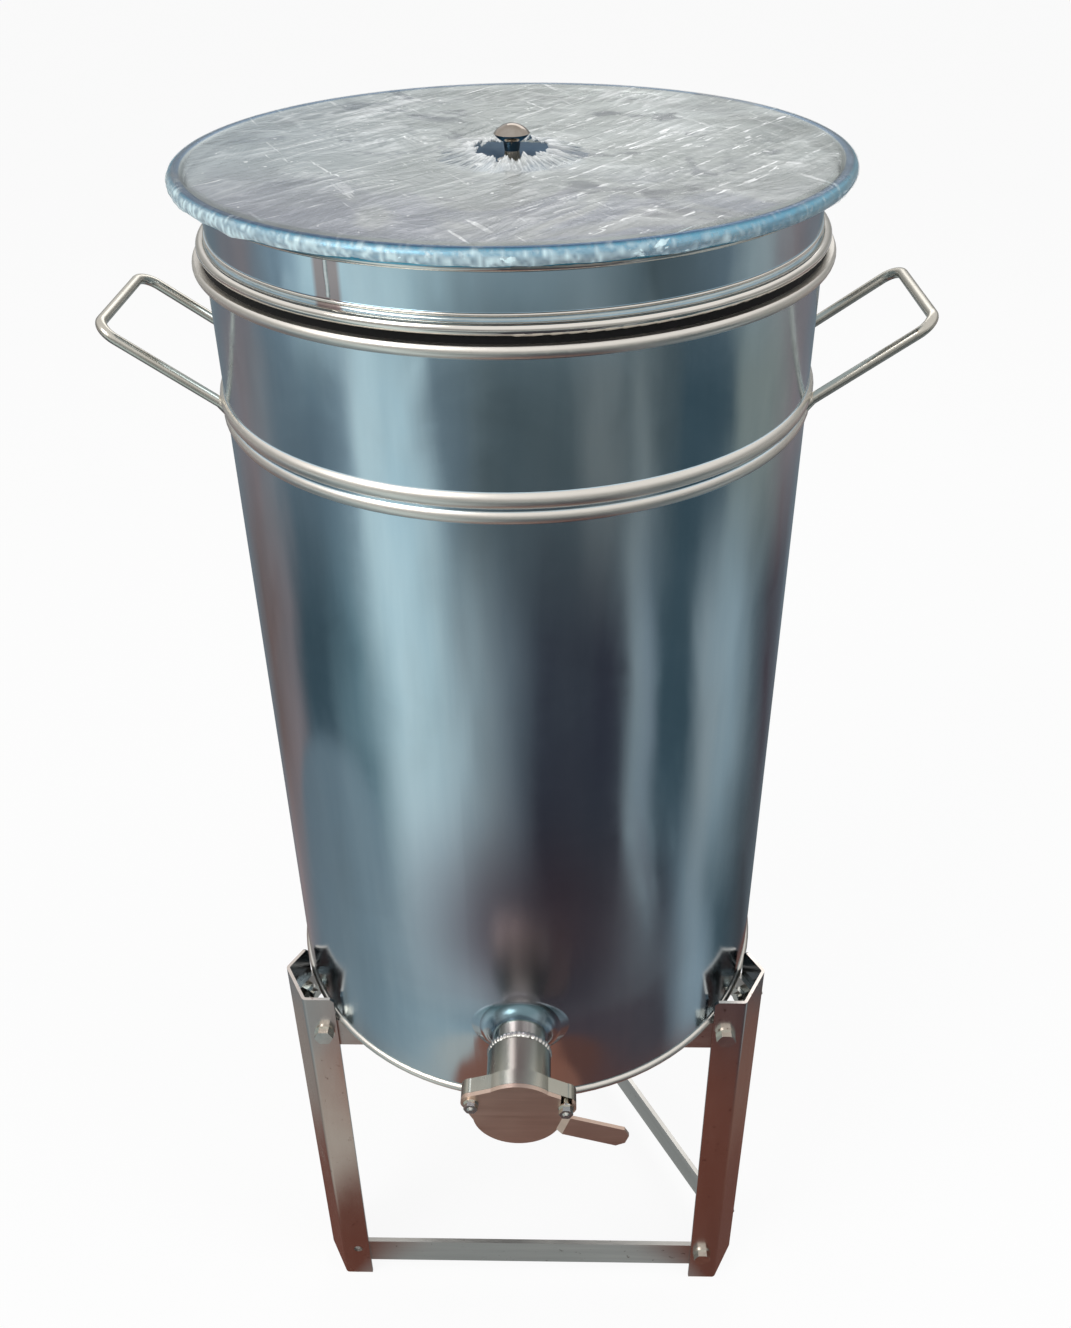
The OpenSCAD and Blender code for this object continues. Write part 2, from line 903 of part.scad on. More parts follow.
// Flat bar on edge between the sides of two legs, drawn at the front and turned about the axis
module bar(turn, z, bolt_z) {
  color("DarkGray")
    rotate(turn)
      difference() {
        translate([-bar_half, -bar_y, z])
          cube([2 * bar_half, bar_t, bar_h]);
        for (side = [-1, 1])
          translate([side * hole_x, overrun - bar_y + bar_t, bolt_z])
            rotate(upright)
              cylinder(r = bolt_r, h = bar_t + 2 * overrun);
      }
}

module top_bar_front() {
  bar(0, stand_h - bar_h, top_bolt_z);
}

module top_bar_right() {
  bar(leg_turn, stand_h - bar_h, top_bolt_z);
}

module top_bar_left() {
  bar(-leg_turn, stand_h - bar_h, top_bolt_z);
}

module low_bar_front() {
  bar(0, bar_low_z, low_bolt_z);
}

module low_bar_right() {
  bar(leg_turn, bar_low_z, low_bolt_z);
}

// Places a fastener at one end of a bar, with Z out of the leg's face
module at_bolt(turn, side, z) {
  rotate(turn)
    translate([side * hole_x, -leg_out_y, z])
      rotate(upright)
        children();
}

// Bolts of the lower bars, as the bar's turn and its end
low_bolts = [[0, 1], [leg_turn, -1], [leg_turn, 1]];

module at_bolts() {
  for (turn = [-leg_turn, 0, leg_turn])
    for (side = [-1, 1])
      at_bolt(turn, side, top_bolt_z)
        children();
  for (b = low_bolts)
    at_bolt(b[0], b[1], low_bolt_z)
      children();
}

// Six-sided bolt head with its corners turned off
module hex_head() {
  corner_r = head_flats / sqrt(3);
  intersection() {
    cylinder(r = corner_r, h = head_h, $fn = hex_sides);
    cylinder(r1 = corner_r + head_h, r2 = corner_r * nut_crown_share, h = head_h);
  }
}

module stand_bolts() {
  grip = leg_t + bar_t + bolt_nut_t + bolt_tail;
  color("DimGray")
    at_bolts() {
      translate([0, 0, -grip])
        cylinder(r = bolt_r, h = grip + bolt_washer_t);
      translate([0, 0, bolt_washer_t])
        hex_head();
    }
}

module stand_washers() {
  color("LightGray")
    at_bolts()
      ring(bolt_washer_r, bolt_r, bolt_washer_t);
}

module stand_nuts() {
  color("Gray")
    at_bolts()
      translate([0, 0, -leg_t - bar_t])
        mirror([0, 0, 1])
          hex_nut(head_flats, bolt_r, bolt_nut_t);
}

tank_shell();
tank_bottom();
handle_left();
handle_right();
outlet_tube();
outlet_weld();
gate_body();
gate_seal();
gate_blade();
gate_studs();
gate_washers();
gate_nuts();
strainer_collar();
strainer_screen();
screen_ring();
rim_seal();
lid_pan();
lid_ring();
lid_knob();
knob_washer();
knob_screw();
lid_wrap();
leg_left();
leg_right();
leg_rear();
top_bar_front();
top_bar_left();
top_bar_right();
low_bar_front();
low_bar_right();
stand_bolts();
stand_washers();
stand_nuts();
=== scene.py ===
"""Dresses the honey settling tank: metals, the film over its lid, the studio and the camera."""
import math

import bpy
from mathutils import Matrix, Vector, noise

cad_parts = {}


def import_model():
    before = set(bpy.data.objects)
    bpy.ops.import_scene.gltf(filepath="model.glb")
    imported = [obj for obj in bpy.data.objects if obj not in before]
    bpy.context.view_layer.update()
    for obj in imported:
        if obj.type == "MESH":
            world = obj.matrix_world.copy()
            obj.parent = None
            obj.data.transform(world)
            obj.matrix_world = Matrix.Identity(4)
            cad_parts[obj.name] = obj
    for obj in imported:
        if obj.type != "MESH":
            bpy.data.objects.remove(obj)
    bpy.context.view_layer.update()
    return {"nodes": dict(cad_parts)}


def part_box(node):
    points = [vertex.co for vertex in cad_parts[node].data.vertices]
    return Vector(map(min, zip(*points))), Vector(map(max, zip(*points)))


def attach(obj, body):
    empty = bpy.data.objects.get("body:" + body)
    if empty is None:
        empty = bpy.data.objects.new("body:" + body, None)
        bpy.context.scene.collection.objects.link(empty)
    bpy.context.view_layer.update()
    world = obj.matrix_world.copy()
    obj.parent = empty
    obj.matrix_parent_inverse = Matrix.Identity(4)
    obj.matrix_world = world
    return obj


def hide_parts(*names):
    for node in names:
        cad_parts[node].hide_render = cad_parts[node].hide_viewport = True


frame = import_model()
nodes = frame["nodes"]
MM = 0.001
FULL_TURN = 2.0 * math.pi

# Sizes that the frame's boxes don't show, as in the part's source
SHEET_T = 1.0 * MM
RING_TO_COLLAR = 2.0 * MM
WELD_HALF = 3.0 * MM
RIM_ROLL_OUT, RIM_ROLL_DROP = 3.0 * MM, 3.3 * MM
FOOT_ROLL_IN, FOOT_ROLL_RISE = 1.2 * MM, 3.2 * MM

# Sizes read from the frame, in metres
shell_low, shell_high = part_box("tank_shell")
_, collar_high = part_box("strainer_collar")
lid_low, lid_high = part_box("lid_pan")
_, bottom_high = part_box("tank_bottom")
_, ring_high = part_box("lid_ring")
outlet_low, outlet_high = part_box("outlet_tube")
weld_low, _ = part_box("outlet_weld")
_, leg_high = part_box("leg_rear")
FOOT_Z = shell_low.z
RIM_Z = shell_high.z
WALL_R = bottom_high.x + SHEET_T
COLLAR_R = ring_high.x + RING_TO_COLLAR
COLLAR_TOP_Z = collar_high.z
LID_Z = lid_low.z
LID_TOP_Z = LID_Z + SHEET_T
ROLL_R = (lid_high.z - lid_low.z) / 2
ROLL_C = lid_high.x - ROLL_R
ROLL_Z = LID_Z + ROLL_R
OUTLET_Z = (outlet_low.z + outlet_high.z) / 2
OUTLET_R = (outlet_high.x - outlet_low.x) / 2
WELD_Y = weld_low.y + WELD_HALF
LEG_TOP_Z = leg_high.z
RIM_ROLL_C, RIM_ROLL_Z = WALL_R + RIM_ROLL_OUT, RIM_Z - RIM_ROLL_DROP
FOOT_ROLL_C, FOOT_ROLL_Z = WALL_R - FOOT_ROLL_IN, FOOT_Z + FOOT_ROLL_RISE


# Shader nodes

def node(tree, kind, **settings):
    """A node with its properties and its inputs set by name; a socket makes a link."""
    made = tree.nodes.new(kind)
    for key, value in settings.items():
        name = key.replace("_", " ").title()
        if name in made.inputs:
            put(tree, made.inputs[name], value)
        else:
            setattr(made, key, value)
    return made


def put(tree, socket, value):
    """Links a socket, or sets its value; a colour of three numbers gets its alpha."""
    if isinstance(value, bpy.types.NodeSocket):
        tree.links.new(value, socket)
    elif socket.type == "RGBA" and len(value) == 3:
        socket.default_value = (*value, 1.0)
    else:
        socket.default_value = value


def maths(tree, operation, a, b=0.0, clamp=False):
    made = tree.nodes.new("ShaderNodeMath")
    made.operation = operation
    made.use_clamp = clamp
    put(tree, made.inputs[0], a)
    put(tree, made.inputs[1], b)
    return made.outputs[0]


def times(tree, a, b):
    return maths(tree, "MULTIPLY", a, b)


def plus(tree, a, b, clamp=False):
    return maths(tree, "ADD", a, b, clamp)


def minus(tree, a, b, clamp=False):
    return maths(tree, "SUBTRACT", a, b, clamp)


def over(tree, a, b):
    return maths(tree, "DIVIDE", a, b)


def rest_of(tree, share):
    """What a share leaves of 1."""
    return minus(tree, 1.0, share)


def squares(tree, a, b):
    return plus(tree, times(tree, a, a), times(tree, b, b))


def mix(tree, factor, a, b):
    made = tree.nodes.new("ShaderNodeMix")
    made.data_type = "RGBA"
    put(tree, made.inputs[0], factor)
    put(tree, made.inputs[6], a)
    put(tree, made.inputs[7], b)
    return made.outputs[2]


def ramp(tree, factor, stops):
    made = tree.nodes.new("ShaderNodeValToRGB")
    elements = made.color_ramp.elements
    while len(elements) < len(stops):
        elements.new(0.5)
    for element, (place_on_ramp, colour) in zip(elements, stops):
        element.position = place_on_ramp
        element.color = (*colour, 1.0)
    put(tree, made.inputs[0], factor)
    return made.outputs[0]


def grey_ramp(tree, factor, *stops):
    return ramp(tree, factor, [(p, (v, v, v)) for p, v in stops])


def past(tree, value, start, end):
    """0 up to start and 1 from end on."""
    made = node(tree, "ShaderNodeMapRange", clamp=True)
    put(tree, made.inputs["Value"], value)
    made.inputs["From Min"].default_value = start
    made.inputs["From Max"].default_value = end
    return made.outputs[0]


def before(tree, value, start, end):
    """1 up to start and 0 from end on."""
    return rest_of(tree, past(tree, value, start, end))


def place(tree, stretch=(1, 1, 1), way=0.0):
    """The piece's own coordinates in metres, stretched across a direction given from +X."""
    coords = tree.nodes.new("ShaderNodeTexCoord")
    turned = tree.nodes.new("ShaderNodeMapping")
    turned.inputs["Rotation"].default_value = (0, 0, -way)
    tree.links.new(coords.outputs["Object"], turned.inputs["Vector"])
    mapping = tree.nodes.new("ShaderNodeMapping")
    mapping.inputs["Scale"].default_value = stretch
    tree.links.new(turned.outputs[0], mapping.inputs["Vector"])
    return mapping.outputs[0]


def own_parts(tree, kind="Object"):
    """The piece's own coordinates in metres, or the normal there, as three sockets."""
    coords = tree.nodes.new("ShaderNodeTexCoord")
    split = tree.nodes.new("ShaderNodeSeparateXYZ")
    tree.links.new(coords.outputs[kind], split.inputs[0])
    return split.outputs


def joined(tree, x, y, z):
    made = tree.nodes.new("ShaderNodeCombineXYZ")
    for socket, value in zip(made.inputs, (x, y, z)):
        put(tree, socket, value)
    return made.outputs[0]


def axis_parts(tree):
    """Distance from the tank's axis, turn about it in radians from the front, and height."""
    x, y, z = own_parts(tree)
    radius = maths(tree, "SQRT", squares(tree, x, y))
    turn = maths(tree, "ARCTAN2", x, times(tree, y, -1.0))
    return radius, turn, z


def unrolled(tree, radius_m, stretch):
    """Coordinates on the unrolled wall: along the wall, across it and up, each stretched."""
    radius, turn, height = axis_parts(tree)
    along = times(tree, turn, radius_m * stretch[0])
    return joined(tree, along, times(tree, radius, stretch[1]), times(tree, height, stretch[2]))


def clouds(tree, vector, scale, detail=4.0, rough=0.55, distortion=0.0):
    return node(
        tree, "ShaderNodeTexNoise", vector=vector, scale=scale, detail=detail, roughness=rough, distortion=distortion
    ).outputs[0]


def bump(tree, height, distance, normal=None):
    made = node(tree, "ShaderNodeBump", strength=1.0, distance=distance, height=height)
    if normal is not None:
        tree.links.new(normal, made.inputs["Normal"])
    return made.outputs[0]


def inward(tree):
    """How far a face is turned towards the tank's axis, from -1 to 1."""
    spot, faces = own_parts(tree), own_parts(tree, "Normal")
    outward = plus(tree, times(tree, spot[0], faces[0]), times(tree, spot[1], faces[1]))
    radius, _, _ = axis_parts(tree)
    return over(tree, times(tree, outward, -1.0), radius)


def ring_normal(tree, ring_r, ring_z):
    """Normal of a round ring about the tank's axis, given the middle of its section."""
    x, y, z = own_parts(tree)
    radius, _, _ = axis_parts(tree)
    outward = rest_of(tree, over(tree, ring_r, radius))
    away = joined(tree, times(tree, x, outward), times(tree, y, outward), minus(tree, z, ring_z))
    unit = node(tree, "ShaderNodeVectorMath", operation="NORMALIZE", vector=away).outputs[0]
    turned = node(tree, "ShaderNodeVectorTransform", convert_from="OBJECT", convert_to="WORLD", vector=unit)
    turned.vector_type = "NORMAL"
    return turned.outputs[0]


# Materials

def material(name):
    made = bpy.data.materials.new(name)
    made.use_nodes = True
    tree = made.node_tree
    return made, tree, tree.nodes["Principled BSDF"]


def source(shader, name):
    """The socket that feeds an input of the shader."""
    return shader.inputs[name].links[0].from_socket


def recolour(tree, shader, mask, colour):
    """Another tone of the same metal where the mask is 1."""
    put(tree, shader.inputs["Base Color"], mix(tree, mask, source(shader, "Base Color"), colour))


def dress(material_made, *names):
    for name in names:
        piece = nodes[name]
        piece.data.materials.clear()
        piece.data.materials.append(material_made)


SMUDGE_SCALE, SMUDGE_SHADE = 14.0, 0.82
FLECK_SCALE = 160.0
SMUDGE_SHARE, STREAK_SHARE = 0.6, 0.4
GRAIN_DEPTH = 0.04 * MM
SWELL_STRETCH = (1.0, 1.0, 0.45)


def steel(name, colour, tone, rough, grain, wave=0.0, wave_scale=5.0, spots=None, wrap=None):
    """Metal with streaks of tone along its grain, smudges in its gloss and a faint waviness.

    grain is the stretch of the streaks in each direction, rough the lowest and highest roughness,
    spots the colour of its flecks, and wrap the radius of a wall on which the streaks are laid unrolled.
    """
    made, tree, shader = material(name)
    vector = unrolled(tree, wrap, grain) if wrap else place(tree, grain)
    streaks = clouds(tree, vector, 1.0, 5.0, 0.6)
    smudges = clouds(tree, place(tree), SMUDGE_SCALE, 6.0, 0.62, 0.6)
    base = mix(tree, grey_ramp(tree, streaks, (0.3, 0.0), (0.7, 1.0)), tone, colour)
    shaded = [c * SMUDGE_SHADE for c in colour]
    base = mix(tree, grey_ramp(tree, smudges, (0.35, 0.35), (0.62, 0.0)), base, shaded)
    if spots:
        flecks = clouds(tree, place(tree), FLECK_SCALE, 3.0, 0.7)
        base = mix(tree, grey_ramp(tree, flecks, (0.66, 0.0), (0.72, 0.8)), base, spots)
    shader.inputs["Metallic"].default_value = 1.0
    put(tree, shader.inputs["Base Color"], base)
    gloss = plus(tree, times(tree, smudges, SMUDGE_SHARE), times(tree, streaks, STREAK_SHARE))
    put(tree, shader.inputs["Roughness"], grey_ramp(tree, gloss, (0.32, rough[0]), (0.68, rough[1])))
    normal = bump(tree, streaks, GRAIN_DEPTH)
    if wave:
        swell = clouds(tree, place(tree, SWELL_STRETCH), wave_scale, 2.0, 0.4, 0.5)
        normal = bump(tree, swell, wave, normal)
    put(tree, shader.inputs["Normal"], normal)
    return made, tree, shader


WALL_BLUE = (0.60, 0.71, 0.77)
WALL_DEEP = (0.47, 0.60, 0.68)
BEAD_SILVER = (0.77, 0.73, 0.67)
# Painted reflection: dark teal of the wall above, mirrored in the flare over the outlet
NECK_REFLECTION_TEAL = (0.15, 0.23, 0.26)
NECK_FADE = (4 * MM, 20 * MM)
WALL_WAVE, COLLAR_WAVE = 1.6 * MM, 1.2 * MM
# How far off the plain sheet the bare metal of beads starts, and where it is full
FORMED_START, FORMED_FULL = 0.2 * MM, 0.7 * MM
RIM_BAND, FOOT_BAND, BAND_SOFT = 8 * MM, 7 * MM, 0.5 * MM
PLAIN_ABOVE_FOOT, PLAIN_BELOW_RIM, PLAIN_SOFT = 8 * MM, 108 * MM, 1 * MM
RING_START, RING_FULL = 0.2 * MM, 0.4 * MM
SEAT_NEAR, SEAT_FAR = 0.03 * MM, 0.06 * MM
# The sheet is pulled out a little round the outlet, and is duller there
DOME_RISE, DOME_SPREAD = 10 * MM, 52 * MM
SATIN_SPREAD, SATIN_DULL = 110 * MM, 0.34
SATIN_FADE = (-5 * MM, 30 * MM)
BEAD_DULL = 0.20
# A thin line showed on the plain wall where it was rougher than this
DULLEST = 0.26
# A plum tint painted on the sheet above the outlet: painted reflection of the dark floor that the wall mirrors there
PAINTED_PLUM_REFLECTION = (0.32, 0.27, 0.31)
PLUM_RISE = 95 * MM
PLUM_WIDE, PLUM_TALL = 72 * MM, 105 * MM
PLUM_FADE = (-10 * MM, 30 * MM)

# Tank wall: bright sheet with a blue cast, and bare silver on what is rolled or formed out of it
tank_metal, tree, shader = steel(
    "tank_sheet", WALL_BLUE, WALL_DEEP, (0.08, 0.20), (26.0, 4.0, 2.2),
    wave=WALL_WAVE, wave_scale=7.0, wrap=WALL_R,
)
radius, turn, height = axis_parts(tree)
formed = past(tree, radius, WALL_R + FORMED_START, WALL_R + FORMED_FULL)
at_rim = past(tree, height, RIM_Z - RIM_BAND - BAND_SOFT, RIM_Z - RIM_BAND)
at_foot = before(tree, height, FOOT_Z + FOOT_BAND - BAND_SOFT, FOOT_Z + FOOT_BAND)
formed = maths(tree, "MAXIMUM", formed, maths(tree, "MAXIMUM", at_rim, at_foot))
plain_low, plain_high = FOOT_Z + PLAIN_ABOVE_FOOT, RIM_Z - PLAIN_BELOW_RIM
plain_wall = times(
    tree,
    past(tree, height, plain_low, plain_low + PLAIN_SOFT),
    before(tree, height, plain_high, plain_high + PLAIN_SOFT),
)
beads = minus(tree, formed, plain_wall, clamp=True)
recolour(tree, shader, beads, BEAD_SILVER)
# Painted reflection: plum tint on the wall above the outlet
beside = times(tree, turn, WALL_R)
above_outlet = minus(tree, height, OUTLET_Z)
plum_across = over(tree, beside, PLUM_WIDE)
plum_up = over(tree, minus(tree, above_outlet, PLUM_RISE), PLUM_TALL)
plum_reflection = maths(tree, "EXPONENT", times(tree, squares(tree, plum_across, plum_up), -1.0))
recolour(tree, shader, times(tree, plum_reflection, past(tree, above_outlet, *PLUM_FADE)), PAINTED_PLUM_REFLECTION)
# Painted reflection: dark teal on the formed flare just above the outlet
neck_reflection = times(tree, times(tree, formed, plain_wall), past(tree, above_outlet, *NECK_FADE))
recolour(tree, shader, neck_reflection, NECK_REFLECTION_TEAL)
off_outlet = squares(tree, beside, above_outlet)
dome = times(tree, maths(tree, "EXPONENT", over(tree, off_outlet, -DOME_SPREAD ** 2)), DOME_RISE)
normal = bump(tree, dome, 1.0, source(shader, "Normal"))
# The rolls at rim and foot are shaded as true rings
off_wall = past(tree, radius, WALL_R + RING_START, WALL_R + RING_FULL)
below_seat = before(tree, height, RIM_Z - SEAT_FAR, RIM_Z - SEAT_NEAR)
above_seat = past(tree, height, FOOT_Z + SEAT_NEAR, FOOT_Z + SEAT_FAR)
rim_ring = times(tree, times(tree, at_rim, off_wall), below_seat)
foot_ring = times(tree, times(tree, at_foot, off_wall), above_seat)
normal = mix(tree, rim_ring, normal, ring_normal(tree, RIM_ROLL_C, RIM_ROLL_Z))
normal = mix(tree, foot_ring, normal, ring_normal(tree, FOOT_ROLL_C, FOOT_ROLL_Z))
put(tree, shader.inputs["Normal"], normal)
satin = maths(tree, "EXPONENT", over(tree, off_outlet, -SATIN_SPREAD ** 2))
satin = times(tree, satin, past(tree, above_outlet, *SATIN_FADE))
gloss = plus(tree, source(shader, "Roughness"), times(tree, satin, SATIN_DULL))
gloss = maths(tree, "MINIMUM", gloss, DULLEST)
gloss = plus(tree, gloss, times(tree, beads, BEAD_DULL))
put(tree, shader.inputs["Roughness"], gloss)
dress(tank_metal, "tank_shell", "tank_bottom")

# Strainer collar: the same sheet, with a brown cast beside its lap seam
SEAM_TURN = math.radians(-28.5)
SEAM_SIDE = math.radians(2.9)
SEAM_CORE_SHARE = 0.7
SEAM_CAST = (0.36, 0.30, 0.30)
collar_metal, tree, shader = steel(
    "collar_sheet", WALL_BLUE, WALL_DEEP, (0.06, 0.18), (22.0, 4.0, 3.0),
    wave=COLLAR_WAVE, wave_scale=9.0, wrap=COLLAR_R,
)
radius, turn, _ = axis_parts(tree)
off_seam = maths(tree, "ABSOLUTE", minus(tree, turn, SEAM_TURN))
recolour(tree, shader, before(tree, off_seam, SEAM_SIDE * SEAM_CORE_SHARE, SEAM_SIDE), SEAM_CAST)
recolour(tree, shader, past(tree, radius, COLLAR_R + FORMED_START, COLLAR_R + FORMED_FULL), BEAD_SILVER)
dress(collar_metal, "strainer_collar", "strainer_screen")

# Rods and gate
rod_metal = steel(
    "drawn_rod", (0.66, 0.63, 0.56), (0.50, 0.47, 0.41), (0.16, 0.36), (30, 8, 30), spots=(0.25, 0.20, 0.15)
)[0]
dress(rod_metal, "handle_left", "handle_right", "screen_ring")
cast_metal = steel("machined_gate", (0.48, 0.46, 0.39), (0.38, 0.36, 0.31), (0.16, 0.32), (40, 6, 40))[0]
dress(cast_metal, "gate_body")
tube_metal = steel("outlet_tube", (0.84, 0.79, 0.70), (0.34, 0.31, 0.27), (0.06, 0.16), (150, 3, 150))[0]
dress(tube_metal, "outlet_tube")
# The blade's brown cast is painted reflection of the brown floor in front
blade_metal = steel("brushed_blade", (0.80, 0.60, 0.49), (0.66, 0.48, 0.38), (0.34, 0.52), (14, 60, 240))[0]
dress(blade_metal, "gate_blade")
WELD_LUMP_SCALE, WELD_LUMP_DEPTH = 420.0, 0.3 * MM
weld_metal, tree, shader = steel(
    "weld_bead", (0.84, 0.82, 0.78), (0.44, 0.41, 0.38), (0.10, 0.28), (300, 300, 300)
)
weld_lumps = clouds(tree, place(tree), WELD_LUMP_SCALE, 3.0, 0.6)
put(tree, shader.inputs["Normal"], bump(tree, weld_lumps, WELD_LUMP_DEPTH))

# Stand: painted shade darkens the legs' inner faces, most of all beside the tank
LEG_INNER_SHADE = (0.36, 0.34, 0.32)
LEG_SHADE = (0.13, 0.14, 0.15)
LEG_SHADE_START, LEG_SHADE_FULL = LEG_TOP_Z - 90 * MM, LEG_TOP_Z - 40 * MM
LEG_WAVE = 2.2 * MM
INSIDE_FADE = (0.3, 0.5)
leg_metal, tree, shader = steel(
    "pressed_leg", (0.72, 0.66, 0.61), (0.56, 0.49, 0.45), (0.14, 0.32), (22, 22, 2.4),
    wave=LEG_WAVE, wave_scale=9.0, spots=(0.24, 0.16, 0.13),
)
inner_face_shade = past(tree, inward(tree), *INSIDE_FADE)
_, _, height = axis_parts(tree)
# Painted shade on the faces turned to the tank, deepest near their tops
recolour(tree, shader, inner_face_shade, LEG_INNER_SHADE)
near_tank = past(tree, height, LEG_SHADE_START, LEG_SHADE_FULL)
recolour(tree, shader, times(tree, inner_face_shade, near_tank), LEG_SHADE)
dress(leg_metal, "leg_left", "leg_right", "leg_rear")
bar_metal = steel(
    "flat_bar", (0.68, 0.66, 0.62), (0.52, 0.50, 0.47), (0.24, 0.46), (6, 6, 120), spots=(0.20, 0.16, 0.13)
)[0]
dress(bar_metal, "top_bar_front", "top_bar_left", "top_bar_right", "low_bar_front", "low_bar_right")

# Fasteners and knob; the studs have no relief of streaks
nut_metal = steel("bright_nut", (0.76, 0.74, 0.68), (0.55, 0.53, 0.48), (0.12, 0.28), (90, 90, 90))[0]
dress(
    nut_metal,
    "gate_nuts", "gate_washers", "stand_washers", "stand_nuts", "stand_bolts", "knob_screw", "knob_washer",
)
STUD_STEEL, STUD_SHADE = (0.74, 0.72, 0.67), 0.7
stud_metal, tree, shader = steel(
    "threaded_stud", STUD_STEEL, [c * STUD_SHADE for c in STUD_STEEL], (0.12, 0.30), (60, 60, 60)
)
tree.links.remove(shader.inputs["Normal"].links[0])
dress(stud_metal, "gate_studs")
knob_metal = steel("polished_knob", (0.42, 0.38, 0.34), (0.24, 0.19, 0.15), (0.04, 0.12), (60, 60, 60))[0]
dress(knob_metal, "lid_knob")

# Black rubber
RUBBER_DARK, RUBBER_LIGHT = (0.003, 0.003, 0.003), (0.009, 0.009, 0.010)
RUBBER_SPECULAR = 0.15
GRIT_SCALE, GRIT_DEPTH = 500.0, 0.1 * MM
rubber, tree, shader = material("black_rubber")
grit = clouds(tree, place(tree), GRIT_SCALE, 4.0, 0.6)
put(tree, shader.inputs["Base Color"], ramp(tree, grit, [(0.3, RUBBER_DARK), (0.7, RUBBER_LIGHT)]))
put(tree, shader.inputs["Roughness"], grey_ramp(tree, grit, (0.3, 0.55), (0.7, 0.8)))
shader.inputs["Specular IOR Level"].default_value = RUBBER_SPECULAR
put(tree, shader.inputs["Normal"], bump(tree, grit, GRIT_DEPTH))
dress(rubber, "rim_seal", "gate_seal")

# Lid: dull sheet, with blue protective film left on its roll and in a torn patch round the knob
BLUE_FILM = (0.10, 0.46, 0.66)
ROLL_BLUE = (0.02, 0.085, 0.17)
DEEP_FILM = (0.03, 0.10, 0.19)
DULL_SPOT = (0.13, 0.14, 0.15)
LID_WAVE = 0.8 * MM
TOP_BLUE_START, TOP_BLUE_FULL = ROLL_C - 3.0 * MM, ROLL_C - 2.0 * MM
OUTER_BLUE_START, OUTER_BLUE_FULL = ROLL_C + 1.5 * MM, ROLL_C + 3.5 * MM
PATCH_BACK = 14 * MM
PATCH_R, PATCH_SOFT = 49 * MM, 1 * MM
PATCH_NARROW = 0.9
RAGGED_SCALE, RAGGED_EDGE = 70.0, 18 * MM
lid_metal, tree, shader = steel(
    "lid_sheet", (0.44, 0.48, 0.46), (0.33, 0.36, 0.35), (0.22, 0.42), (5, 60, 60), wave=LID_WAVE, wave_scale=10.0
)
radius, _, _ = axis_parts(tree)
recolour(tree, shader, past(tree, radius, TOP_BLUE_START, TOP_BLUE_FULL), ROLL_BLUE)
recolour(tree, shader, past(tree, radius, OUTER_BLUE_START, OUTER_BLUE_FULL), BLUE_FILM)
dull = clouds(tree, place(tree), 13.0, 4.0, 0.6, 1.2)
recolour(tree, shader, grey_ramp(tree, dull, (0.60, 0.0), (0.70, 0.75)), DULL_SPOT)
x, y, _ = own_parts(tree)
back = minus(tree, y, PATCH_BACK)
aside = times(tree, x, PATCH_NARROW)
ragged = times(tree, clouds(tree, place(tree), RAGGED_SCALE, 3.0, 0.6), RAGGED_EDGE)
patch_r = plus(tree, maths(tree, "SQRT", squares(tree, back, aside)), ragged)
recolour(tree, shader, before(tree, patch_r, PATCH_R, PATCH_R + PATCH_SOFT), DEEP_FILM)
dress(lid_metal, "lid_pan", "lid_ring")

# Shadow edges stay smooth on round beads and rods
SHADOW_OFFSET = 0.8
for name in (
    "tank_shell", "strainer_collar", "lid_pan", "rim_seal", "handle_left", "handle_right", "outlet_tube"
):
    nodes[name].shadow_terminator_geometry_offset = SHADOW_OFFSET


# Pieces that the solids leave to the scene

def mesh_piece(name, points, faces, body):
    data = bpy.data.meshes.new(name)
    data.from_pydata([tuple(p) for p in points], [], faces)
    data.validate()
    data.update()
    data.polygons.foreach_set("use_smooth", [True] * len(data.polygons))
    piece = bpy.data.objects.new(name, data)
    bpy.context.scene.collection.objects.link(piece)
    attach(piece, body)
    return piece


def quad(row, next_row, column, columns):
    """Face between two rows of a grid of points, from a column to the next one round."""
    after = (column + 1) % columns
    return row * columns + column, row * columns + after, next_row * columns + after, next_row * columns + column


def grid_faces(rows, columns, closed=False):
    """Faces of a grid of points laid row by row; a closed one joins its last column to its first."""
    across = columns if closed else columns - 1
    return [quad(r, r + 1, c, columns) for r in range(rows - 1) for c in range(across)]


SEAM_COLUMNS, SEAM_ROWS = 7, 60
SEAM_SINK = 0.15 * MM
SEAM_SWAY_SHARE, SEAM_SWAY_RATE = 0.12, 90.0
COLLAR_SEAM_W, COLLAR_SEAM_RISE = 3.2 * MM, 0.45 * MM
TANK_SEAM_W, TANK_SEAM_RISE = 2.4 * MM, 0.35 * MM
# Heights between which the seams run, clear of rolls, beads and hoops
COLLAR_SEAM_LOW, COLLAR_SEAM_HIGH = RIM_Z + 15.5 * MM, COLLAR_TOP_Z - 5.6 * MM
TANK_SEAM_LOW, HOOPS_LOW = FOOT_Z + 7.5 * MM, RIM_Z - 105 * MM
HOOPS_HIGH, TANK_SEAM_HIGH = RIM_Z - 83 * MM, RIM_Z - 8 * MM
BACK = math.pi


def seam_strip(name, wall_r, turn, low, high, width, rise, body):
    """A low weld bead that runs up a round wall."""
    points = []
    for r in range(SEAM_ROWS):
        z = low + (high - low) * r / (SEAM_ROWS - 1)
        sway = SEAM_SWAY_SHARE * width * noise.noise(Vector((z * SEAM_SWAY_RATE, turn, 0.0)))
        for c in range(SEAM_COLUMNS):
            s = 2.0 * c / (SEAM_COLUMNS - 1) - 1.0
            out = wall_r - SEAM_SINK + (rise + SEAM_SINK) * math.sqrt(max(0.0, 1.0 - s * s))
            a = turn + (s * width / 2 + sway) / wall_r
            points.append((out * math.sin(a), -out * math.cos(a), z))
    return mesh_piece(name, points, grid_faces(SEAM_ROWS, SEAM_COLUMNS), body)


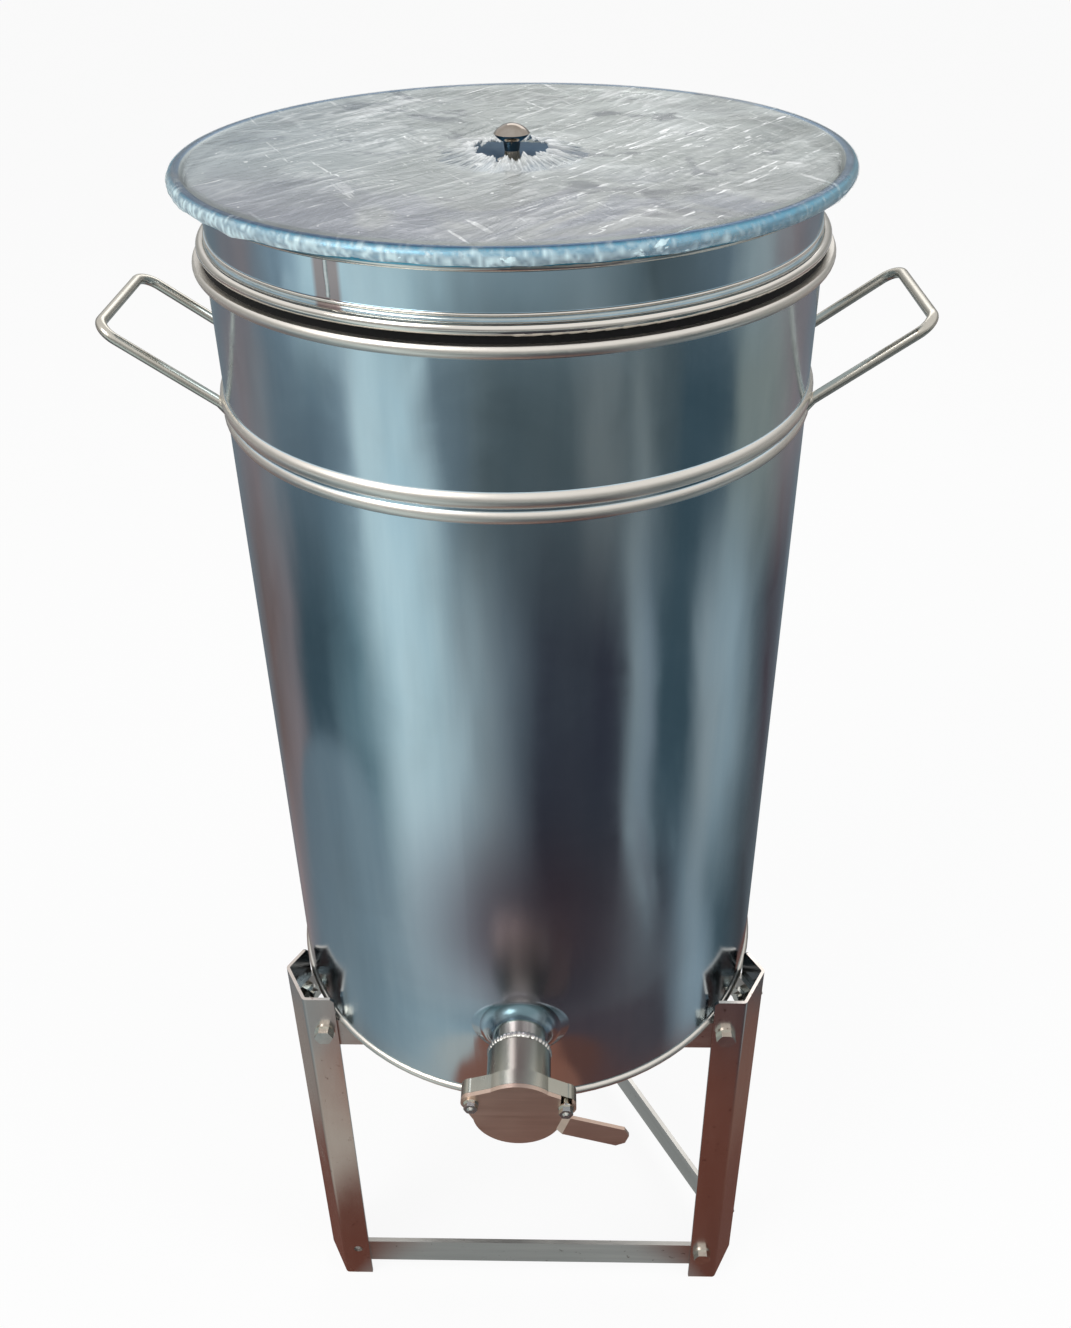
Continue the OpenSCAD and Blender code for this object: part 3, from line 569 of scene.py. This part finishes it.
seam_metal = steel("seam_bead", (0.82, 0.82, 0.80), (0.58, 0.58, 0.57), (0.12, 0.30), (60, 60, 900))[0]
collar_seam = seam_strip(
    "collar_seam", COLLAR_R, SEAM_TURN, COLLAR_SEAM_LOW, COLLAR_SEAM_HIGH,
    COLLAR_SEAM_W, COLLAR_SEAM_RISE, "strainer",
)
# The hoops part the tank's seam in two
tank_seams = [
    seam_strip(name, WALL_R, BACK, low, high, TANK_SEAM_W, TANK_SEAM_RISE, "tank")
    for name, low, high in (
        ("tank_seam_low", TANK_SEAM_LOW, HOOPS_LOW),
        ("tank_seam_high", HOOPS_HIGH, TANK_SEAM_HIGH),
    )
]
for piece in [collar_seam, *tank_seams]:
    piece.data.materials.append(seam_metal)

# Lumpy weld bead where the gate's tube is joined to the outlet tube
BEAD_R = 2.3 * MM
BEAD_LUMPS = 46
BEAD_COLUMNS, BEAD_ROWS = 12, 276
BEAD_OUT_SHARE, BEAD_LONG_SHARE = 0.7, 1.3
# Shares of the bead's radius: what is always there, its lumps, a slow swell and a drift along the tube
BEAD_LEAST, BEAD_LUMP, BEAD_SWELL, BEAD_DRIFT = 0.78, 0.22, 0.18, 0.25
BEAD_SWELL_RATE, BEAD_DRIFT_RATE = 9, 6
UNEVEN_LUMPS, UNEVEN_TIMES = 1.5, 3.0


def ring_bead():
    points = []
    for r in range(BEAD_ROWS):
        a = FULL_TURN * r / BEAD_ROWS
        lump = 0.5 + 0.5 * math.cos(BEAD_LUMPS * a + UNEVEN_LUMPS * math.sin(UNEVEN_TIMES * a))
        swell = noise.noise(Vector((math.cos(a) * BEAD_SWELL_RATE, math.sin(a) * BEAD_SWELL_RATE, 0.0)))
        drift = noise.noise(Vector((math.cos(a) * BEAD_DRIFT_RATE, math.sin(a) * BEAD_DRIFT_RATE, 5.0)))
        thick = BEAD_R * (BEAD_LEAST + BEAD_LUMP * lump + BEAD_SWELL * swell)
        shift = BEAD_DRIFT * BEAD_R * drift
        for c in range(BEAD_COLUMNS):
            b = FULL_TURN * c / BEAD_COLUMNS
            out = OUTLET_R + BEAD_OUT_SHARE * BEAD_R + thick * math.cos(b)
            along = WELD_Y + shift + BEAD_LONG_SHARE * thick * math.sin(b)
            points.append((out * math.cos(a), along, OUTLET_Z + out * math.sin(a)))
    faces = grid_faces(BEAD_ROWS, BEAD_COLUMNS, closed=True)
    faces += [quad(BEAD_ROWS - 1, 0, c, BEAD_COLUMNS) for c in range(BEAD_COLUMNS)]
    return mesh_piece("outlet_bead", points, faces, "tank")


weld_ring = ring_bead()
weld_ring.data.materials.append(weld_metal)
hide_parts("outlet_weld")

# Film: pulled over the roll of the lid, gathered under it and torn open round the knob
FILM_HOLE_R = 24 * MM
FILM_GAP = 0.35 * MM
FILM_SAG = 5.0 * MM
FILM_CLEAR = 0.4 * MM
STREAK_WAY = math.radians(52.0)
CROSS_WAY = math.radians(118.0)
FRONT_LEFT = math.radians(35.0)
FILM_TURNS = 720
# Share of the film from the hole to the roll, and its rows there and on round the roll
FLAT_SHARE, ROLL_SHARE = 0.86, 0.14
FLAT_ROWS, ROLL_ROWS = 78, 16
ROLL_TURN = math.radians(128.0)
# Heights of what lifts the film, and how far from the hole and the roll that reaches
STREAK_LIFT, CREASE_LIFT, SWELL_LIFT = 1.1 * MM, 1.0 * MM, 0.5 * MM
HOLE_LIFT, TUFT_LIFT, COMB_LIFT = 2.6 * MM, 5.0 * MM, 4.0 * MM
HOLE_REACH, ROLL_REACH = 17 * MM, 22 * MM
TEAR_REACH = 5.0 * MM
PLEAT_OUT, HEM_WAVE = 0.9 * MM, 1.6 * MM
STREAK_SIZE, CREASE_SIZE = 9 * MM, 26 * MM
STREAK_LENGTHEN = 0.16
RIDGE_SHARP = 5.0
STREAK_MORE, CREASE_MORE = 0.25, 0.1
PLEAT_LEAST, PLEAT_FRONT = 0.4, 0.8
TEAR_COMB = 0.3
# How fast each noise changes, on the flat or round the axis, and how fast it drifts outwards
STREAK_RATE, CREASE_RATE, SWELL_RATE = 16, 22, 30
TUFT_RATE, COMB_RATE, PLEAT_RATE, HEM_RATE, STRAND_RATE = 5.0, 22.0, 34.0, 9.0, 60
COMB_DRIFT, PLEAT_DRIFT, STRAND_DRIFT = 90.0, 1.3, 14
# How white the crinkles are round the hole, on streaks and creases, and in the gathers on the roll
HOLE_WHITE, STREAK_WHITE, CREASE_WHITE = 0.45, 0.55, 0.35
GATHER_WHITE, FRONT_WHITE = 0.06, 0.80
STRAND_LEAST, STRAND_MORE = 0.65, 1.3
TOP_WHITE, TOP_STRAND = 0.9, 0.25
# Shares of the film over which the look of the roll and its outer gathers set in
ON_ROLL = (0.825, 0.845)
OUTER_GATHERS = (0.89, 0.915)


def film_mid(s):
    """Distance from the axis and height of the taut film, s from 0 at the torn hole to 1 at the hem."""
    top = ROLL_Z + ROLL_R + FILM_GAP
    if s < FLAT_SHARE:
        t = s / FLAT_SHARE
        return FILM_HOLE_R + (ROLL_C - FILM_HOLE_R) * t, top - FILM_SAG * (1.0 - t)
    a = (s - FLAT_SHARE) / (1.0 - FLAT_SHARE) * ROLL_TURN
    return ROLL_C + (ROLL_R + FILM_GAP) * math.sin(a), ROLL_Z + (ROLL_R + FILM_GAP) * math.cos(a)


def share_between(value, start, end):
    return min(1.0, max(0.0, (value - start) / (end - start)))


def flat_noise(x, y, rate, layer):
    return noise.noise(Vector((x * rate, y * rate, layer)))


def round_noise(a, rate, layer):
    """Noise that runs round the axis and meets itself."""
    return noise.noise(Vector((math.sin(a) * rate, math.cos(a) * rate, layer)))


def ridges(x, y, size, layer):
    """Sharp creases with flat film between them, from 0 to 1."""
    value = noise.noise(Vector((x / size, y / size, layer)))
    return max(0.0, 1.0 - abs(value) * RIDGE_SHARP) ** 2


def film_point(s, a):
    """A point of the film and how white its crinkles are there, a being the turn from the front."""
    r, z = film_mid(s)
    x, y = r * math.sin(a), -r * math.cos(a)
    near_hole = math.exp(-((r - FILM_HOLE_R) / HOLE_REACH) ** 2)
    along = x * math.cos(STREAK_WAY) + y * math.sin(STREAK_WAY)
    across = y * math.cos(STREAK_WAY) - x * math.sin(STREAK_WAY)
    front_left = 0.5 + 0.5 * math.cos(a + FRONT_LEFT)
    streak = ridges(along * STREAK_LENGTHEN, across, STREAK_SIZE, 3.0)
    streak *= max(0.0, flat_noise(x, y, STREAK_RATE, 7.0) + STREAK_MORE)
    crease = ridges(x, y, CREASE_SIZE, 11.0)
    crease *= max(0.0, flat_noise(x, y, CREASE_RATE, 19.0) + CREASE_MORE)
    inside = min(1.0, (ROLL_C - r) / ROLL_REACH) if s < FLAT_SHARE else 0.0
    tuft = round_noise(a, TUFT_RATE, 31.0)
    comb = round_noise(a, COMB_RATE, r * COMB_DRIFT)
    lift = inside * (STREAK_LIFT * streak + CREASE_LIFT * crease)
    lift += inside * SWELL_LIFT * flat_noise(x, y, SWELL_RATE, 23.0)
    lift += near_hole * (HOLE_LIFT + TUFT_LIFT * tuft + COMB_LIFT * abs(comb))
    white = near_hole * (HOLE_WHITE + abs(comb))
    white += STREAK_WHITE * inside * streak + CREASE_WHITE * inside * crease
    if s < FLAT_SHARE:
        r -= near_hole * TEAR_REACH * (tuft + TEAR_COMB * comb)
        z = max(z + lift, LID_TOP_Z + FILM_CLEAR)
    else:
        depth = (s - FLAT_SHARE) / ROLL_SHARE
        pleat = round_noise(a, PLEAT_RATE, depth * PLEAT_DRIFT)
        r += depth * PLEAT_OUT * abs(pleat) * (PLEAT_LEAST + PLEAT_FRONT * front_left)
        z += depth * depth * HEM_WAVE * round_noise(a, HEM_RATE, 41.0) + lift
        strands = abs(round_noise(a, STRAND_RATE, s * STRAND_DRIFT))
        outer = share_between(s, *OUTER_GATHERS)
        white += outer * (GATHER_WHITE + FRONT_WHITE * front_left ** 2) * (STRAND_LEAST + STRAND_MORE * strands)
        white += (1.0 - outer) * TOP_WHITE * front_left * max(0.0, strands - TOP_STRAND)
    return (r * math.sin(a), -r * math.cos(a), z), min(1.0, white)


def film_mesh():
    steps = [i / FLAT_ROWS * FLAT_SHARE for i in range(FLAT_ROWS + 1)]
    steps += [FLAT_SHARE + ROLL_SHARE * i / ROLL_ROWS for i in range(1, ROLL_ROWS + 1)]
    points, crinkles, rolls = [], [], []
    for s in steps:
        for k in range(FILM_TURNS):
            point, white = film_point(s, FULL_TURN * k / FILM_TURNS)
            points.append(point)
            crinkles.append(white)
            rolls.append(share_between(s, *ON_ROLL))
    piece = mesh_piece("lid_film", points, grid_faces(len(steps), FILM_TURNS, closed=True), "lid")
    for key, values in (("crinkle", crinkles), ("roll", rolls)):
        layer = piece.data.attributes.new(key, "FLOAT", "POINT")
        layer.data.foreach_set("value", values)
    return piece


film = film_mesh()
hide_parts("lid_wrap")

# Look of the film: haze, fine lines both ways, dark blotches, painted glints and sparkle as highlights, and white
# crinkles
HAZE_TONES = [(0.30, (0.34, 0.38, 0.38)), (0.48, (0.47, 0.51, 0.50)), (0.68, (0.60, 0.65, 0.65))]
FILM_DARK = (0.13, 0.15, 0.18)
FILM_LEFT, LEFT_SHARE, LEFT_FADE = (0.36, 0.46, 0.55), 0.5, (0.02, 0.17)
FILM_FRONT, FRONT_SHARE, FRONT_FADE = (0.34, 0.33, 0.37), 0.5, (0.03, 0.15)
FILM_SHADE = (0.26, 0.28, 0.36)
CRINKLE_WHITE, CRINKLE_ON_ROLL = (0.95, 0.97, 0.98), (0.74, 0.95, 1.0)
DASH_FADE = (-0.04, 0.06)
VEIL, VEIL_LEAST, VEIL_OFF_ROLL = 1.1, 0.05, 0.8
MARK_VEIL, CRINKLE_VEIL = 0.45, 0.8
LINE_DEPTH, HAZE_DEPTH = 0.5 * MM, 3.0 * MM
FILM_ROUGH, FILM_IOR = 0.18, 1.5

film_look, tree, shader = material("cling_film")
crinkle, on_roll = [
    node(tree, "ShaderNodeAttribute", attribute_name=key).outputs["Fac"] for key in ("crinkle", "roll")
]
off_roll = rest_of(tree, on_roll)
x, y, _ = own_parts(tree)
haze = clouds(tree, place(tree, (13, 18, 18), STREAK_WAY), 1.0, 6.0, 0.62, 0.8)
lines = clouds(tree, place(tree, (7, 190, 190), STREAK_WAY), 1.0, 3.0, 0.6, 0.15)
cross = clouds(tree, place(tree, (12, 150, 150), CROSS_WAY), 1.0, 3.0, 0.6, 0.3)
sparkle = clouds(tree, place(tree, (70, 240, 240), STREAK_WAY), 1.0, 2.0, 0.5)
blotch = clouds(tree, place(tree), 15.0, 4.0, 0.6, 0.9)
specks = clouds(tree, place(tree), 170.0, 2.0, 0.5)
streaky = grey_ramp(tree, blotch, (0.42, 0.15), (0.58, 1.0))
marks = times(tree, grey_ramp(tree, lines, (0.65, 0.0), (0.69, 1.0)), streaky)
cross_marks = times(tree, grey_ramp(tree, cross, (0.64, 0.0), (0.69, 0.6)), streaky)
# Painted highlights: white glints and sparkle dashes in the film's colour and opacity
painted_glints = times(tree, grey_ramp(tree, specks, (0.70, 0.0), (0.74, 0.8)), off_roll)
painted_sparkle = times(
    tree,
    grey_ramp(tree, lines, (0.56, 0.0), (0.60, 1.0)),
    grey_ramp(tree, sparkle, (0.56, 0.0), (0.61, 1.0)),
)
painted_sparkle = times(tree, times(tree, painted_sparkle, past(tree, x, *DASH_FADE)), off_roll)
for more in (cross_marks, painted_glints, painted_sparkle):
    marks = plus(tree, marks, more, clamp=True)
look = ramp(tree, haze, HAZE_TONES)
look = mix(tree, grey_ramp(tree, blotch, (0.37, 0.9), (0.44, 0.0)), look, FILM_DARK)
leftward = past(tree, times(tree, x, -1.0), *LEFT_FADE)
look = mix(tree, times(tree, leftward, LEFT_SHARE), look, FILM_LEFT)
frontward = past(tree, times(tree, y, -1.0), *FRONT_FADE)
look = mix(tree, times(tree, frontward, FRONT_SHARE), look, FILM_FRONT)
shade = grey_ramp(tree, clouds(tree, place(tree), 9.0, 3.0, 0.5, 1.0), (0.48, 0.0), (0.54, 0.85))
look = mix(tree, times(tree, shade, frontward), look, FILM_SHADE)
gathered = mix(tree, on_roll, CRINKLE_WHITE, CRINKLE_ON_ROLL)
look = mix(tree, maths(tree, "MAXIMUM", marks, crinkle), look, gathered)
put(tree, shader.inputs["Base Color"], look)
facing = node(tree, "ShaderNodeLayerWeight", blend=0.5).outputs["Facing"]
veil = times(tree, times(tree, facing, facing), VEIL)
veil = times(tree, veil, rest_of(tree, times(tree, on_roll, VEIL_OFF_ROLL)))
alpha = plus(tree, veil, VEIL_LEAST)
for part in (times(tree, marks, MARK_VEIL), times(tree, crinkle, CRINKLE_VEIL)):
    alpha = plus(tree, alpha, part, clamp=True)
put(tree, shader.inputs["Alpha"], alpha)
shader.inputs["Roughness"].default_value = FILM_ROUGH
shader.inputs["IOR"].default_value = FILM_IOR
put(tree, shader.inputs["Normal"], bump(tree, lines, LINE_DEPTH, bump(tree, haze, HAZE_DEPTH)))
film.data.materials.append(film_look)


# Studio

scene = bpy.context.scene
scene.view_settings.view_transform = "Standard"
WHITE = (1.0, 1.0, 1.0)
STUDIO_SIDES = 96
FLOOR_R, FLOOR_DROP = 45.0, 0.5 * MM
CARD_R, CARD_RISE = 5.0, 0.5 * MM
WALL_OUT, WALL_UP = 6.0, 3.2


def plain_mesh(name, points, faces):
    data = bpy.data.meshes.new(name)
    data.from_pydata(points, [], faces)
    made = bpy.data.objects.new(name, data)
    scene.collection.objects.link(made)
    return made


def circle(radius, z):
    turns = [FULL_TURN * i / STUDIO_SIDES for i in range(STUDIO_SIDES)]
    return [(radius * math.cos(a), radius * math.sin(a), z) for a in turns]


def disc(name, radius, z):
    return plain_mesh(name, circle(radius, z), [tuple(range(STUDIO_SIDES))])


def glow(tree, colour):
    made = node(tree, "ShaderNodeEmission", color=colour)
    made.inputs["Strength"].default_value = 1.0
    return made.outputs[0]


def shine(tree, surface):
    tree.links.new(surface, tree.nodes["Material Output"].inputs[0])


def seen_directly(tree):
    """1 on rays from the camera and on those that metal or glass sends on."""
    path = tree.nodes.new("ShaderNodeLightPath")
    total = path.outputs["Is Camera Ray"]
    for name in ("Is Glossy Ray", "Is Transmission Ray"):
        total = plus(tree, total, path.outputs[name], clamp=True)
    return total


def hide_but_glossy(piece):
    """Leaves a card to reflections alone."""
    for ray in ("camera", "diffuse", "transmission", "shadow", "volume_scatter"):
        setattr(piece, "visible_" + ray, False)


FLOOR_TONES = [(0.3, (0.93, 0.93, 0.93)), (0.7, (0.96, 0.96, 0.96))]
FLOOR_ROUGH = 0.9
FLOOR_GLOW_SHARE = 0.90
floor = disc("floor", FLOOR_R, -FLOOR_DROP)
floor_look, tree, shader = material("pale_floor")
shader.inputs["Roughness"].default_value = FLOOR_ROUGH
shader.inputs["Specular IOR Level"].default_value = 0.0
speckle = clouds(tree, place(tree), 3.0, 3.0)
put(tree, shader.inputs["Base Color"], ramp(tree, speckle, FLOOR_TONES))
blend = tree.nodes.new("ShaderNodeMixShader")
put(tree, blend.inputs[0], times(tree, seen_directly(tree), FLOOR_GLOW_SHARE))
tree.links.new(shader.outputs[0], blend.inputs[1])
tree.links.new(glow(tree, WHITE), blend.inputs[2])
shine(tree, blend.outputs[0])
floor.data.materials.append(floor_look)

# A toned card on the floor, which only reflections see, gives the bright wall its light and dark bands.
# In front the foot mirrors it at about 0.45 m from the axis, the rim at 2.2 m and the collar farther out.
PALE = (0.80, 0.92, 0.93)
TEAL = (0.56, 0.68, 0.70)
MIST = (0.36, 0.39, 0.40)
SLATE = (0.17, 0.21, 0.24)
NAVY = (0.06, 0.095, 0.115)
PLUM = (0.075, 0.055, 0.066)
INK = (0.045, 0.043, 0.058)
DUSK = (0.10, 0.12, 0.125)
ROSE = (0.30, 0.23, 0.23)
UMBER = (0.19, 0.13, 0.12)
COPPER = (0.34, 0.13, 0.085)
DARK_COPPER = (0.17, 0.065, 0.048)
WARM_GREY = (0.57, 0.55, 0.51)
TAUPE = (0.24, 0.24, 0.23)
OLIVE_GREY = (0.30, 0.31, 0.28)

card = disc("reflection_card", CARD_R, CARD_RISE)
hide_but_glossy(card)
card_look, tree, shader = material("toned_card")
radius, turn, _ = axis_parts(tree)
round_share = plus(tree, over(tree, turn, FULL_TURN), 0.5)
SWAY_SCALE, SWAY_SHARE = 2.2, 0.07
sway = times(tree, minus(tree, clouds(tree, place(tree), SWAY_SCALE, 3.0, 0.5, 0.6), 0.5), SWAY_SHARE)
swayed_share = plus(tree, round_share, sway)


def round_tones(share, *stops):
    """Tones round the card, each at its direction in degrees to the right of the front."""
    return ramp(tree, share, [(degrees / 360.0 + 0.5, tone) for degrees, tone in stops])


near_tone = round_tones(
    swayed_share,
    (-180, MIST), (-150, SLATE), (-125, ROSE), (-104, SLATE), (-84, (0.24, 0.29, 0.32)),
    (-60, (0.34, 0.42, 0.46)), (-45, (0.42, 0.50, 0.53)), (-30, (0.36, 0.43, 0.46)),
    (-16, (0.13, 0.125, 0.14)), (-4, (0.10, 0.085, 0.095)), (16, (0.11, 0.07, 0.075)), (60, PLUM),
    (73, (0.30, 0.36, 0.40)), (82, (0.32, 0.38, 0.42)), (93, NAVY), (118, (0.06, 0.06, 0.068)),
    (150, SLATE), (180, MIST),
)
mid_tone = round_tones(
    swayed_share,
    (-180, MIST), (-150, SLATE), (-125, UMBER), (-104, ROSE), (-92, NAVY), (-80, NAVY),
    (-66, (0.20, 0.29, 0.32)), (-52, TEAL), (-45, PALE), (-32, (0.72, 0.84, 0.85)), (-14, MIST),
    (-5, (0.22, 0.24, 0.26)), (10, INK), (38, INK), (46, MIST), (52, (0.30, 0.33, 0.36)), (57, NAVY),
    (70, NAVY), (80, MIST), (94, (0.40, 0.47, 0.50)), (110, (0.12, 0.15, 0.17)), (128, PLUM),
    (155, SLATE), (180, MIST),
)
far_tone = round_tones(
    swayed_share,
    (-180, MIST), (-150, SLATE), (-120, ROSE), (-102, (0.28, 0.28, 0.29)), (-93, SLATE), (-74, SLATE),
    (-60, (0.28, 0.35, 0.40)), (-55, PALE), (-38, PALE), (-24, SLATE), (-10, DUSK), (18, DUSK),
    (28, TAUPE), (36, TAUPE), (41, DUSK), (48, (0.30, 0.31, 0.30)), (54, DUSK), (66, NAVY), (84, NAVY),
    (93, OLIVE_GREY), (110, OLIVE_GREY), (128, ROSE), (155, SLATE), (180, MIST),
)
collar_tone = round_tones(
    swayed_share,
    (-180, MIST), (-140, SLATE), (-108, ROSE), (-96, (0.24, 0.29, 0.33)), (-84, (0.34, 0.42, 0.48)),
    (-76, PALE), (-54, PALE), (-34, TEAL), (-8, (0.34, 0.40, 0.42)), (30, (0.26, 0.31, 0.33)),
    (52, DUSK), (80, SLATE), (96, (0.40, 0.44, 0.44)), (120, ROSE), (155, SLATE), (180, MIST),
)
stand_tone = round_tones(
    round_share,
    (-180, UMBER), (-120, (0.29, 0.26, 0.24)), (-75, (0.26, 0.235, 0.22)), (-50, WARM_GREY),
    (-30, WARM_GREY), (-12, UMBER), (12, DARK_COPPER), (50, DARK_COPPER), (85, (0.24, 0.125, 0.095)),
    (130, DARK_COPPER), (180, UMBER),
)


OVAL_EDGE = (0.8, 1.0)


def patch_at(degrees, out, half_turn, half_out):
    """1 on an oval of the card, round a place given by its direction and distance."""
    across = over(tree, minus(tree, turn, math.radians(degrees)), math.radians(half_turn))
    along = over(tree, minus(tree, radius, out), half_out)
    return before(tree, squares(tree, across, along), *OVAL_EDGE)


# Distances from the axis, in metres, over which one ring of the card passes into the next
NEAR_TO_MID = (0.58, 0.86)
MID_TO_FAR = (1.30, 1.90)
FAR_TO_COLLAR = (2.4, 3.1)
UNDER_TANK = (0.18, 0.21)
FOOT_TO_STAND = (0.27, 0.31)
STAND_TO_NEAR = (0.43, 0.455)
BAND_END = (0.45, 0.50)
tone = mix(tree, past(tree, radius, *NEAR_TO_MID), near_tone, mid_tone)
tone = mix(tree, past(tree, radius, *MID_TO_FAR), tone, far_tone)
tone = mix(tree, past(tree, radius, *FAR_TO_COLLAR), tone, collar_tone)
foot_tone = mix(tree, past(tree, radius, *FOOT_TO_STAND), DARK_COPPER, stand_tone)
foot_tone = mix(tree, before(tree, radius, *UNDER_TANK), foot_tone, MIST)
foot_tone = mix(tree, patch_at(degrees=0, out=0.10, half_turn=46, half_out=0.15), foot_tone, MIST)
tone = mix(tree, past(tree, radius, *STAND_TO_NEAR), foot_tone, tone)
tone = mix(tree, patch_at(degrees=-4, out=0.40, half_turn=30, half_out=0.12), tone, COPPER)
band_end = patch_at(degrees=-84, out=0.70, half_turn=30, half_out=0.30)
tone = mix(tree, times(tree, band_end, past(tree, radius, *BAND_END)), tone, near_tone)
wisps = grey_ramp(tree, clouds(tree, place(tree), 8.0, 4.0, 0.6, 1.6), (0.57, 0.0), (0.66, 0.7))
wisp_area = patch_at(degrees=54, out=0.90, half_turn=13, half_out=0.34)
tone = mix(tree, times(tree, wisps, wisp_area), tone, TEAL)
patchy = clouds(tree, place(tree), 2.6, 3.0, 0.5, 0.8)
tone = mix(tree, grey_ramp(tree, patchy, (0.35, 0.20), (0.65, 0.0)), tone, DUSK)
shine(tree, glow(tree, tone))
card.data.materials.append(card_look)

# A grey wall round the studio, which only reflections see, gives rods and beads their dark edges
WALL_CLIMB = [(0.0, (0.34, 0.34, 0.33)), (0.5, (0.42, 0.43, 0.42)), (1.0, WHITE)]
WALL_PANEL = (0.26, 0.27, 0.27)
studio_wall = plain_mesh(
    "reflection_wall", circle(WALL_OUT, 0.0) + circle(WALL_OUT, WALL_UP), grid_faces(2, STUDIO_SIDES, closed=True)
)
hide_but_glossy(studio_wall)
wall_look, tree, shader = material("toned_wall")
_, _, height = axis_parts(tree)
panels = clouds(tree, unrolled(tree, WALL_OUT, (0.45, 0.0, 0.25)), 1.0, 2.0, 0.5)
climb = ramp(tree, over(tree, height, WALL_UP), WALL_CLIMB)
wall_tone = mix(tree, grey_ramp(tree, panels, (0.40, 0.5), (0.60, 0.0)), climb, WALL_PANEL)
shine(tree, glow(tree, wall_tone))
studio_wall.data.materials.append(wall_look)

# White surroundings: dimmer as light than as seen
SKY_LIGHT, SKY_SEEN = 0.55, 0.956
world = bpy.data.worlds.new("studio")
scene.world = world
world.use_nodes = True
tree = world.node_tree
background = tree.nodes["Background"]
put(tree, background.inputs["Color"], WHITE)
put(tree, background.inputs["Strength"], grey_ramp(tree, seen_directly(tree), (0.0, SKY_LIGHT), (1.0, SKY_SEEN)))


def soft_lamp(name, place_m, target, size, watts, colour):
    data = bpy.data.lights.new(name, "AREA")
    data.shape = "RECTANGLE"
    data.size, data.size_y = size
    data.energy = watts
    data.color = colour
    lamp = bpy.data.objects.new(name, data)
    lamp.location = place_m
    lamp.rotation_euler = (Vector(target) - Vector(place_m)).to_track_quat("-Z", "Y").to_euler()
    scene.collection.objects.link(lamp)
    return lamp


soft_lamp(
    "key", place_m=(-1.6, -1.4, 2.6), target=(0, 0, 0.7), size=(1.4, 1.4), watts=30, colour=(1.0, 0.99, 0.97)
)
fill = soft_lamp(
    "fill", place_m=(2.0, -0.8, 2.2), target=(0, 0, 0.6), size=(1.6, 1.2), watts=18, colour=(0.95, 0.98, 1.0)
)
# Mirrored in the rolls, this lamp added to bright scallops there
fill.visible_glossy = False
soft_lamp("back", place_m=(0.4, 2.2, 2.4), target=(0, 0, 0.8), size=(1.8, 1.0), watts=8, colour=WHITE)

# Camera: the photo's viewpoint, for a frame of 1071 x 1328 pixels
FRAME_W, FRAME_H = 1071.0, 1328.0
FOCAL_PX = 1251.1
MIDDLE_PX = (522.6, 599.2)
CAMERA_OUT, CAMERA_UP = 0.7822, 1.1889
CAMERA_TURN = math.radians(2.0)
CAMERA_YAW = math.radians(0.09)
CAMERA_PITCH = math.radians(32.64)
CAMERA_ROLL = math.radians(-1.09)
SENSOR = 36.0
CLIP_START = 0.02

camera_data = bpy.data.cameras.new("photo_view")
camera_data.sensor_fit = "HORIZONTAL"
camera_data.sensor_width = SENSOR
camera_data.lens = FOCAL_PX * SENSOR / FRAME_W
camera_data.shift_x = (FRAME_W / 2 - MIDDLE_PX[0]) / FRAME_W
camera_data.shift_y = (MIDDLE_PX[1] - FRAME_H / 2) / FRAME_W
camera_data.clip_start = CLIP_START
camera = bpy.data.objects.new("photo_view", camera_data)
scene.collection.objects.link(camera)
heading = CAMERA_YAW - CAMERA_TURN
flat_share = math.cos(CAMERA_PITCH)
ahead = Vector((math.sin(heading) * flat_share, math.cos(heading) * flat_share, -math.sin(CAMERA_PITCH)))
level = ahead.cross(Vector((0, 0, 1))).normalized()
above = level.cross(ahead)
right = math.cos(CAMERA_ROLL) * level + math.sin(CAMERA_ROLL) * above
up = math.cos(CAMERA_ROLL) * above - math.sin(CAMERA_ROLL) * level
camera.matrix_world = Matrix((right, up, -ahead)).transposed().to_4x4()
camera.location = (CAMERA_OUT * math.sin(CAMERA_TURN), -CAMERA_OUT * math.cos(CAMERA_TURN), CAMERA_UP)
scene.camera = camera
